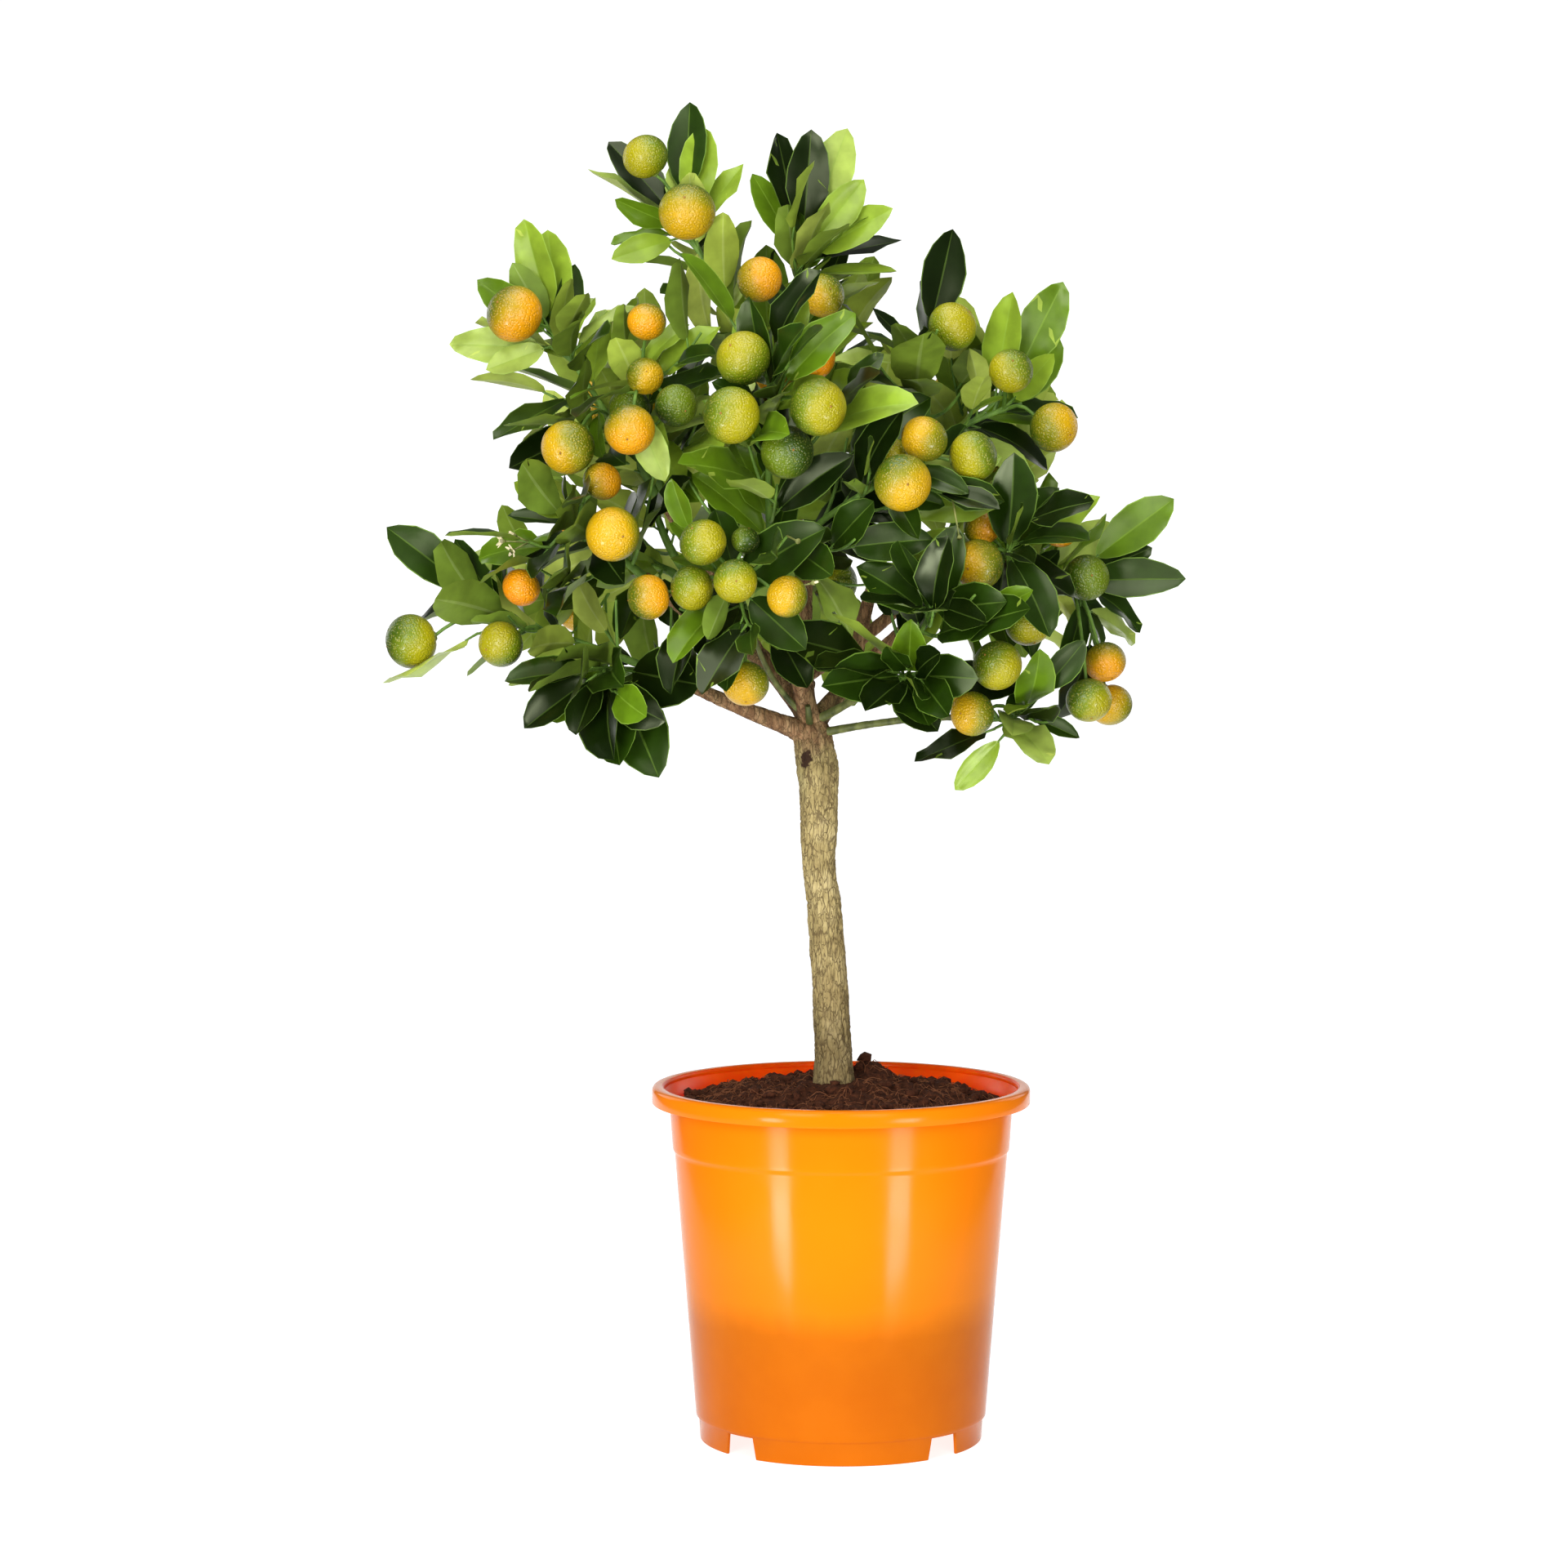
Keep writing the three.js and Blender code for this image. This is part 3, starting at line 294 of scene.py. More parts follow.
@dataclass(frozen=True)
class LeafFinish:
    """One plain tone of leaf, a little mottled."""

    name: str
    tone: Tone
    roughness: float
    gloss: float = 0.3
    sheen: Colour = (0.9, 1, 0.62, 1)
    scale: float = 90
    mottle: float = 0.16

    def make(self) -> Material:
        """Returns the material."""
        paint = Painter(self.name, Roughness=self.roughness, Specular_IOR_Level=self.gloss,
                        Specular_Tint=self.sheen)
        dark, pale = rgb(self.tone, 1 - self.mottle), rgb(self.tone, 1 + self.mottle)
        paint.grain(paint.noise(paint.place(), self.scale), dark, pale)
        return paint.material


@dataclass(frozen=True)
class FruitFinish:
    """Peel that turns from one colour to another over each fruit, with fine pores painted pale, partly their
    own colour and partly painted glints.
    """

    name: str
    unripe: Tone
    half: Tone
    ripe: Tone
    pore_glint_tone: Tone = (255, 236, 150)
    patch_scale: float = 34
    patch_reach: float = 0.2
    pore_scale: float = 760
    pore_depth: float = 0.0004

    def make(self) -> Material:
        """Returns the material."""
        paint = Painter(self.name, Roughness=0.3, Specular_IOR_Level=0.42)
        shift = paint.wander(paint.noise(paint.place(), self.patch_scale), self.patch_reach)
        ripeness = paint.math("ADD", paint.attribute("ripeness"), shift)
        peel = paint.ramp(ripeness, (0.2, rgb(self.unripe)), (0.5, rgb(self.half)), (0.8, rgb(self.ripe)))
        pores = paint.cells(paint.place(), self.pore_scale, "F1")
        # The pores' pale colour is partly their own and partly painted glints.
        pale = rgb(tinted(self.ripe, self.pore_glint_tone, 0.4))
        paint.set(Base_Color=paint.blend(paint.span(pores, 0.15, 0.4, 0.4, 0), peel, pale))
        paint.bump(paint.span(pores, 0.1, 0.6), self.pore_depth, 0.8)
        return paint.material


@dataclass(frozen=True)
class BarkFinish:
    """Tan bark with short dark cracks, partly their own colour and partly painted shade, red-brown and
    fibrous round the fork, darker towards its foot.
    """

    name: str = "bark"
    tan: tuple[Tone, Tone, Tone] = ((136, 118, 74), (168, 150, 100), (196, 178, 128))
    red: tuple[Tone, Tone, Tone] = ((82, 54, 34), (134, 100, 68), (178, 146, 106))
    foot_tone: Tone = (112, 92, 60)
    moss: Tone = (104, 104, 58)
    crack: Tone = (78, 60, 38)
    wound: Tone = (56, 36, 22)
    fork_low: float = 0.372
    fork_high: float = 0.402
    foot_tone_top: float = 0.29
    foot_tone_low: float = 0.2
    scar: Place = (-20, -10.5, 379)
    scar_size: float = 0.005
    scar_edge: float = 0.0015
    relief: float = 0.0008

    def make(self, ground: Ground) -> Material:
        """Paints the bark from its ground tones up: fork, darker foot, moss, cracks with painted shade, and
        scar.

        Args:
            ground: where the plant stands.

        Returns:
            The material.
        """
        paint = Painter(self.name, Roughness=0.82, Specular_IOR_Level=0.25)
        place, drawn_out = paint.place(), paint.place(0.2)
        blotch = paint.noise(place, 70, 5, 0.65)
        tan = paint.ramp(blotch, *zip((0.3, 0.5, 0.72), map(rgb, self.tan)))
        red = paint.ramp(paint.noise(drawn_out, 260, 4, 0.6), *zip((0.3, 0.5, 0.75), map(rgb, self.red)))
        height = paint.height(place)
        near_fork = paint.math("ADD", paint.span(height, self.fork_low, self.fork_high),
                               paint.wander(blotch, 0.3))
        bark = paint.blend(paint.span(near_fork, 0.25, 0.75), tan, red)
        # Darker towards the foot.
        bark = paint.blend(paint.span(height, self.foot_tone_top, self.foot_tone_low, 0, 0.45), bark, rgb(self.foot_tone))
        green = paint.span(paint.noise(paint.place(0.3), 45), 0.56, 0.72, 0, 0.5)
        bark = paint.blend(green, bark, rgb(self.moss))
        wide, fine = self.cracks(paint, 300, 0.3, 0.075), self.cracks(paint, 520, 0.26, 0.06)
        cracks = paint.math("MAXIMUM", wide, fine)
        # The cracks' dark colour is partly their own and partly painted shade in the grooves.
        bark = paint.blend(paint.math("MULTIPLY", cracks, 0.75), bark, rgb(self.crack))
        off = paint.distance(place, tuple(ground.metres(self.scar)))
        off = paint.math("ADD", off, paint.wander(paint.noise(place, 300, 2), self.scar_edge))
        scar = paint.span(off, self.scar_size, self.scar_size * 0.75)
        paint.set(Base_Color=paint.blend(scar, bark, rgb(self.wound)))
        skin = paint.noise(drawn_out, 420, 4, 0.65)
        paint.bump(paint.math("SUBTRACT", skin, paint.math("MULTIPLY", cracks, 0.5)), self.relief, 0.8)
        return paint.material

    def cracks(self, paint: Painter, scale: float, stretch: float, width: float) -> Socket:
        """Draws thin wavy cracks that run up the stem, broken here and there.

        Args:
            paint: the material in work.
            scale: how close the cracks are.
            stretch: how short a pattern is along the stem for its width.
            width: how wide a crack is, as a share of the plates between the cracks.

        Returns:
            The pattern, 1 in a crack.
        """
        wavy = paint.warped(paint.place(stretch), scale * 0.8, 1.2 / scale)
        edges = paint.span(paint.cells(wavy, scale, "DISTANCE_TO_EDGE"), width * 0.25, width, 1, 0)
        broken = paint.span(paint.noise(paint.place(0.4), scale * 0.8, 1), 0.3, 0.52)
        return paint.math("MULTIPLY", edges, broken)


@dataclass(frozen=True)
class TwigFinish:
    """The skin of a young twig, from green to brown-green."""

    name: str
    pale: Tone
    dark: Tone
    scale: float = 160
    relief: float = 0.0002

    def make(self) -> Material:
        """Returns the material."""
        paint = Painter(self.name, Roughness=0.55, Specular_IOR_Level=0.35)
        paint.grain(paint.noise(paint.place(0.4), self.scale), rgb(self.dark), rgb(self.pale))
        paint.bump(paint.noise(paint.place(), 700, 2), self.relief, 0.4)
        return paint.material


@dataclass(frozen=True)
class PotFinish:
    """Glossy orange plastic, with painted shade that deepens its tone below a band near the foot."""

    name: str = "pot_plastic"
    shade_band: float = 0.07
    drift: float = 0.004
    tones: tuple[tuple[float, Tone], ...] = (
        (0, (196, 97, 1)), (0.23, (200, 103, 2)), (0.36, (226, 123, 10)), (0.5, (228, 124, 12)),
        (1, (226, 117, 6)),
    )
    cloud: Tone = (230, 127, 12)
    relief: float = 0.00006

    def make(self) -> Material:
        """Returns the material."""
        paint = Painter(self.name, Specular_IOR_Level=0.08)
        place = paint.place()
        drift = paint.wander(paint.noise(paint.place(0.4), 24, 4, 0.6), self.drift)
        # Painted shade: the tones turn deeper below the band and are darkest at the foot.
        level = paint.span(paint.math("ADD", paint.height(place), drift), self.shade_band - 0.03, self.shade_band + 0.1)
        tones = paint.ramp(level, *((stop, rgb(tone)) for stop, tone in self.tones))
        clouds = paint.span(paint.noise(place, 30, 4), 0.35, 0.7, 0, 0.18)
        roughness = paint.span(paint.noise(place, 60), 0.3, 0.7, 0.13, 0.2)
        paint.set(Base_Color=paint.blend(clouds, tones, rgb(self.cloud)), Roughness=roughness)
        paint.bump(paint.noise(paint.place(0.12), 130, 2), self.relief, 0.5)
        return paint.material


@dataclass(frozen=True)
class PotInsideFinish:
    """The pot's inside, which lets light through a little, painted a redder orange than its outside for the
    light that shines through the wall.
    """

    name: str = "pot_inside"
    # The redder tones are painted light: the glow of light shining through the orange wall.
    tone: Tone = (242, 84, 2)
    deep: Tone = (218, 76, 2)
    scatter: Place = (1.0, 0.25, 0.02)
    scatter_depth: float = 0.01

    def make(self) -> Material:
        """Returns the material."""
        paint = Painter(self.name, Roughness=0.3, Specular_IOR_Level=0.1, Subsurface_Weight=0.8,
                        Subsurface_Scale=self.scatter_depth, Subsurface_Radius=self.scatter)
        paint.grain(paint.noise(paint.place(), 40), rgb(self.deep), rgb(self.tone))
        return paint.material


@dataclass(frozen=True)
class SoilFinish:
    """Dark crumbly peat and coir."""

    name: str
    light: Tone
    dark: Tone
    relief: float = 0.001

    def make(self) -> Material:
        """Returns the material."""
        paint = Painter(self.name, Roughness=0.95, Specular_IOR_Level=0.15)
        place = paint.place()
        paint.grain(paint.noise(place, 420, 6, 0.7), rgb(self.dark), rgb(self.light), 0.2)
        paint.bump(paint.noise(place, 600, 5, 0.7), self.relief, 0.9)
        return paint.material


@dataclass(frozen=True)
class PaleFinish:
    """A pale, matt surface with a faint grain, which may glow."""

    name: str
    tone: Tone
    roughness: float = 0.8
    glow: float = 0.0

    def make(self) -> Material:
        """Returns the material."""
        paint = Painter(self.name, Roughness=self.roughness, Specular_IOR_Level=0.2,
                        Emission_Color=(1, 1, 1, 1), Emission_Strength=self.glow)
        paint.grain(paint.noise(paint.place(), 200, 2), rgb(self.tone, 0.97), rgb(self.tone), 0.2)
        return paint.material


# ---- pieces from meshes


def linked(name: str, data: bpy.types.ID) -> Object:
    """Puts an object in the scene.

    Args:
        name: its name.
        data: its mesh, curve, light or camera.

    Returns:
        The object.
    """
    item = bpy.data.objects.new(name, data)
    bpy.context.scene.collection.objects.link(item)
    return item


def finished(name: str, mesh: Mesh, materials: list[Material],
             stands_for: list[str]) -> None:
    """Makes a mesh a piece of the plant.

    Args:
        name: the piece's name.
        mesh: its mesh, already in the frame of the solids.
        materials: what its faces' material numbers mean.
        stands_for: the solids that it stands for.
    """
    piece = linked(name, mesh)
    for material in materials:
        mesh.materials.append(material)
    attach(piece, BODY)
    if stands_for:
        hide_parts(*stands_for)
    LOG.info("%s: %d faces", name, len(mesh.polygons))


def mesh_of(bm: BMesh, name: str, smooth: bool = True) -> Mesh:
    """Turns a bmesh into a mesh and frees it.

    Args:
        bm: the bmesh.
        name: the mesh's name.
        smooth: whether its faces are shaded smooth.

    Returns:
        The mesh.
    """
    for face in bm.faces:
        face.smooth = smooth
    mesh = bpy.data.meshes.new(name)
    bm.to_mesh(mesh)
    bm.free()
    return mesh


def rod(bm: BMesh, foot: Vector, tip: Vector, radii: tuple[float, float], sides: int) -> Matrix:
    """Adds a straight tapering rod.

    Args:
        bm: the bmesh that takes it.
        foot: the middle of one end.
        tip: the middle of the other.
        radii: its radius at each.
        sides: how many faces go round it.

    Returns:
        The turn that brings +Z to its direction.
    """
    way = tip - foot
    turn = way.to_track_quat("Z", "Y").to_matrix().to_4x4()
    bmesh.ops.create_cone(bm, cap_ends=True, segments=sides, radius1=radii[0], radius2=radii[1],
                          depth=way.length, matrix=Matrix.Translation((foot + tip) / 2) @ turn)
    return turn


def arrays_of(bm: BMesh) -> Arrays:
    """Turns a bmesh into arrays, and frees it.

    Args:
        bm: the bmesh.

    Returns:
        Its corners, the corner numbers of all faces in a row, the faces' sizes and material numbers.
    """
    bm.verts.index_update()
    corners = np.array([vert.co for vert in bm.verts], float)
    loops = np.array([vert.index for face in bm.faces for vert in face.verts])
    sizes = np.array([len(face.verts) for face in bm.faces])
    slots = np.array([face.material_index for face in bm.faces])
    bm.free()
    return corners, loops, sizes, slots


@dataclass
class Heap:
    """Many small shapes that become one mesh."""

    shapes: list[Arrays] = field(default_factory=list)
    count: int = 0

    def add(self, corners: Array, loops: Array, sizes: Array, slots: Array) -> None:
        """Adds one shape, given as `arrays_of` does."""
        self.shapes.append((corners, loops + self.count, sizes, slots))
        self.count += len(corners)

    def mesh(self, name: str, ground: Ground) -> Mesh:
        """Joins the shapes.

        Args:
            name: the mesh's name.
            ground: where the plant stands.

        Returns:
            The mesh, in the frame of the solids.
        """
        corners, loops, sizes, slots = map(np.concatenate, zip(*self.shapes))
        mesh = bpy.data.meshes.new(name)
        mesh.vertices.add(len(corners))
        mesh.vertices.foreach_set("co", ground.metres(corners).astype(np.float32).ravel())
        mesh.loops.add(len(loops))
        mesh.loops.foreach_set("vertex_index", loops.astype(np.int32))
        mesh.polygons.add(len(sizes))
        starts = np.concatenate([[0], np.cumsum(sizes)[:-1]]).astype(np.int32)
        mesh.polygons.foreach_set("loop_start", starts)
        mesh.polygons.foreach_set("material_index", slots.astype(np.int32))
        mesh.update(calc_edges=True)
        mesh.polygons.foreach_set("use_smooth", np.ones(len(sizes), bool))
        mesh.validate()
        return mesh


class Strands:
    """Thin round strands that become one mesh."""

    def __init__(self, name: str, ground: Ground, roundness: int) -> None:
        """Starts without any strand.

        Args:
            name: the mesh's name.
            ground: where the plant stands.
            roundness: the bevel resolution of the curve that they are made from.
        """
        self.ground = ground
        self.curve = bpy.data.curves.new(name, "CURVE")
        self.curve.dimensions, self.curve.bevel_depth, self.curve.bevel_resolution = "3D", MM, roundness
        self.curve.use_fill_caps = True
        for _ in range(2):
            self.curve.materials.append(None)

    def add(self, places: list[Array], radii: list[float], slot: int = 0) -> None:
        """Adds one strand.

        Args:
            places: the points of its middle line.
            radii: its radius at each.
            slot: its material number.
        """
        spline = self.curve.splines.new("POLY")
        spline.points.add(len(places) - 1)
        for point, place, radius in zip(spline.points, places, radii):
            point.co = (*self.ground.metres(place), 1)
            point.radius = radius
        spline.material_index = slot

    def mesh(self) -> Mesh:
        """Returns the mesh of all the strands."""
        strand = bpy.data.objects.new(self.curve.name, self.curve)
        mesh = bpy.data.meshes.new_from_object(strand)
        bpy.data.objects.remove(strand)
        mesh.materials.clear()
        mesh.polygons.foreach_set("use_smooth", np.ones(len(mesh.polygons), bool))
        return mesh


# ---- lines


class Line:
    """A smooth line through space, with places given by shares of its length."""

    SAMPLES = 200
    PASSING = np.arange(0.1, 1.001, 0.05)

    def __init__(self, points: Array) -> None:
        """Measures the line through closely spaced points.

        Args:
            points: the points.
        """
        self.points = points
        steps = np.linalg.norm(np.diff(points, axis=0), axis=1)
        self.along = np.concatenate([[0], np.cumsum(steps)])
        self.length = float(self.along[-1])

    @classmethod
    def bow(cls, start: Array, via: Array, end: Array) -> Line:
        """Returns the bow from start to end that passes through via half-way."""
        return cls.pulled(start, 2 * via - 0.5 * start - 0.5 * end, end)

    @classmethod
    def pulled(cls, start: Array, control: Array, end: Array) -> Line:
        """Returns the curve from start to end that is pulled towards control."""
        t = np.linspace(0, 1, cls.SAMPLES + 1)[:, None]
        return cls((1 - t) ** 2 * start + 2 * t * (1 - t) * control + t**2 * end)

    @classmethod
    def through(cls, stations: Array) -> Line:
        """Draws the smooth line through a few stations.

        Args:
            stations: their places.

        Returns:
            The line.
        """
        ends = np.vstack([2 * stations[0] - stations[1], stations, 2 * stations[-1] - stations[-2]])
        t = np.linspace(0, 1, 25)[:-1, None]
        parts = [0.5 * (2 * b + (c - a) * t + (2 * a - 5 * b + 4 * c - d) * t**2
                        + (3 * b - a - 3 * c + d) * t**3)
                 for a, b, c, d in zip(ends[:-3], ends[1:-2], ends[2:-1], ends[3:])]
        return cls(np.vstack([*parts, stations[-1:]]))

    def at(self, shares: float | Array) -> Array:
        """Returns the place, or places, at a share of the line's length."""
        wanted = np.asarray(shares, float) * self.length
        return np.stack([np.interp(wanted, self.along, self.points[:, i]) for i in range(3)], -1)

    def heading(self, share: float) -> Array:
        """Returns the line's direction at a share of its length."""
        return unit(self.at(min(1.0, share + 0.01)) - self.at(max(0.0, share - 0.01)))

    def spaced(self, spacing: float) -> Array:
        """Returns places along the line, no further apart than the spacing."""
        return self.at(np.linspace(0, 1, max(2, math.ceil(self.length / spacing)) + 1))

    def nearest(self, place: Array) -> tuple[float, float]:
        """Returns the share where the line passes a place past its first tenth, and the gap there."""
        gaps = np.linalg.norm(self.at(self.PASSING) - place, axis=1)
        return self.PASSING[gaps.argmin()], gaps.min()


def around(axis: Array, angle: float) -> Array:
    """Returns the direction square to an axis at an angle round it, counted from the level."""
    level = unit(np.cross(axis, (1.0, 0, 0) if abs(axis[2]) > 0.95 else (0, 0, 1.0)))
    return level * math.cos(angle) + np.cross(level, axis) * math.sin(angle)


def leaning(axis: Array, lean: float, turn: float) -> Array:
    """Returns the direction that leans off an axis, towards a turn round it, both in degrees."""
    lean = math.radians(lean)
    return unit(around(axis, math.radians(turn)) * math.sin(lean) + axis * math.cos(lean))


# ---- the plant's plan


@dataclass(frozen=True)
class Bough:
    """One tapering limb, from a share of its parent's length."""

    name: str
    parent: str
    at: float
    via: Place
    tip: Place
    thick: float
    thin: float


class Palette(Enum):
    """The leaf tones of a spray: shares of dark, deep, middle, fresh and light leaves. Tones differ at
    random from leaf to leaf; DEEP and SHADED sprays, low or deep in the crown, get more dark leaves as
    painted shade, and SUNNY sprays at the top more light leaves as painted light.
    """

    DEEP = (0.42, 0.32, 0.18, 0.08, 0.0)
    SHADED = (0.4, 0.3, 0.15, 0.1, 0.05)
    MIXED = (0.27, 0.24, 0.17, 0.18, 0.14)
    SUNNY = (0.21, 0.19, 0.17, 0.23, 0.2)
    YOUNG = (0.08, 0.14, 0.26, 0.32, 0.2)


@dataclass(frozen=True)
class Fruit:
    """One fruit: its middle and diameter, and how ripe it is from 0, green, to 1, orange.

    `shown` is the share of its radius that leaves in front of it keep off.
    """

    place: Place
    diameter: float
    ripeness: float
    shown: float = 0.72


@dataclass(frozen=True)
class Mass:
    """One mass of foliage, grown from its bough's tip to its own.

    `reach` is its side shoots' length and `fill` their number, as a share of the usual. `sag`
    bends its leaves down. `size` and `broad` stretch its leaves, and `aims` are where leaf tips
    end that its outline shows. It carries its `fruit`, or `bears` some by rule.
    """

    name: str
    bough: str
    tip: Place
    reach: float
    sag: float
    palette: Palette
    fruit: tuple[Fruit, ...] = ()
    bears: int = 0
    fill: float = 1.0
    size: float = 1.0
    broad: float = 1.0
    aims: tuple[Place, ...] = ()


# Each station of the trunk: the place of its middle and its diameter there.
TRUNK_STATIONS = np.array([
    [-3.5, 0, 190, 24.6],
    [-4.2, 0, 212, 21.2],
    [-6.2, 0, 253, 19.2],
    [-9.6, 0, 295, 18.8],
    [-12.6, 0, 322, 18.9],
    [-12.0, 0, 350, 20.0],
    [-13.0, 0, 372, 23.4],
    [-15.6, 0, 388, 21.4],
    [-17.4, 0, 403, 19.0],
])

BOUGHS = (
    Bough("left", "trunk", 0.95, (-48, -14, 405), (-84, -26, 421), 10, 7),
    Bough("centre", "trunk", 0.98, (-25, -18, 430), (-34, -48, 472), 9.2, 7),
    Bough("slender", "trunk", 0.99, (-37, -20, 423), (-48, -48, 450), 3.2, 2.8),
    Bough("green", "trunk", 0.98, (4, -18, 411), (25, -54, 426), 4.8, 3.6),
    Bough("low", "trunk", 0.95, (38, -24, 402), (82, -42, 403), 4.4, 3.4),
    Bough("right", "trunk", 0.97, (20, 15, 436), (66, 2, 474), 8.8, 7.2),
    Bough("back", "trunk", 0.96, (-20, 40, 434), (-18, 74, 478), 9, 7.2),
    Bough("left_upper", "trunk", 0.99, (-56, 14, 452), (-98, 4, 522), 8.8, 7),
    Bough("top", "centre", 0.3, (-22, 4, 480), (-32, -2, 556), 7.8, 7),
    Bough("right_upper", "right", 0.3, (22, 2, 490), (44, -16, 545), 7.4, 6.8),
    Bough("left_mid", "left_upper", 0.3, (-74, -8, 452), (-108, -28, 480), 7, 6.6),
    Bough("back_left", "back", 0.3, (-50, 52, 440), (-88, 68, 478), 7.4, 7),
    Bough("back_right", "back", 0.4, (18, 58, 448), (52, 74, 480), 7.4, 7),
)

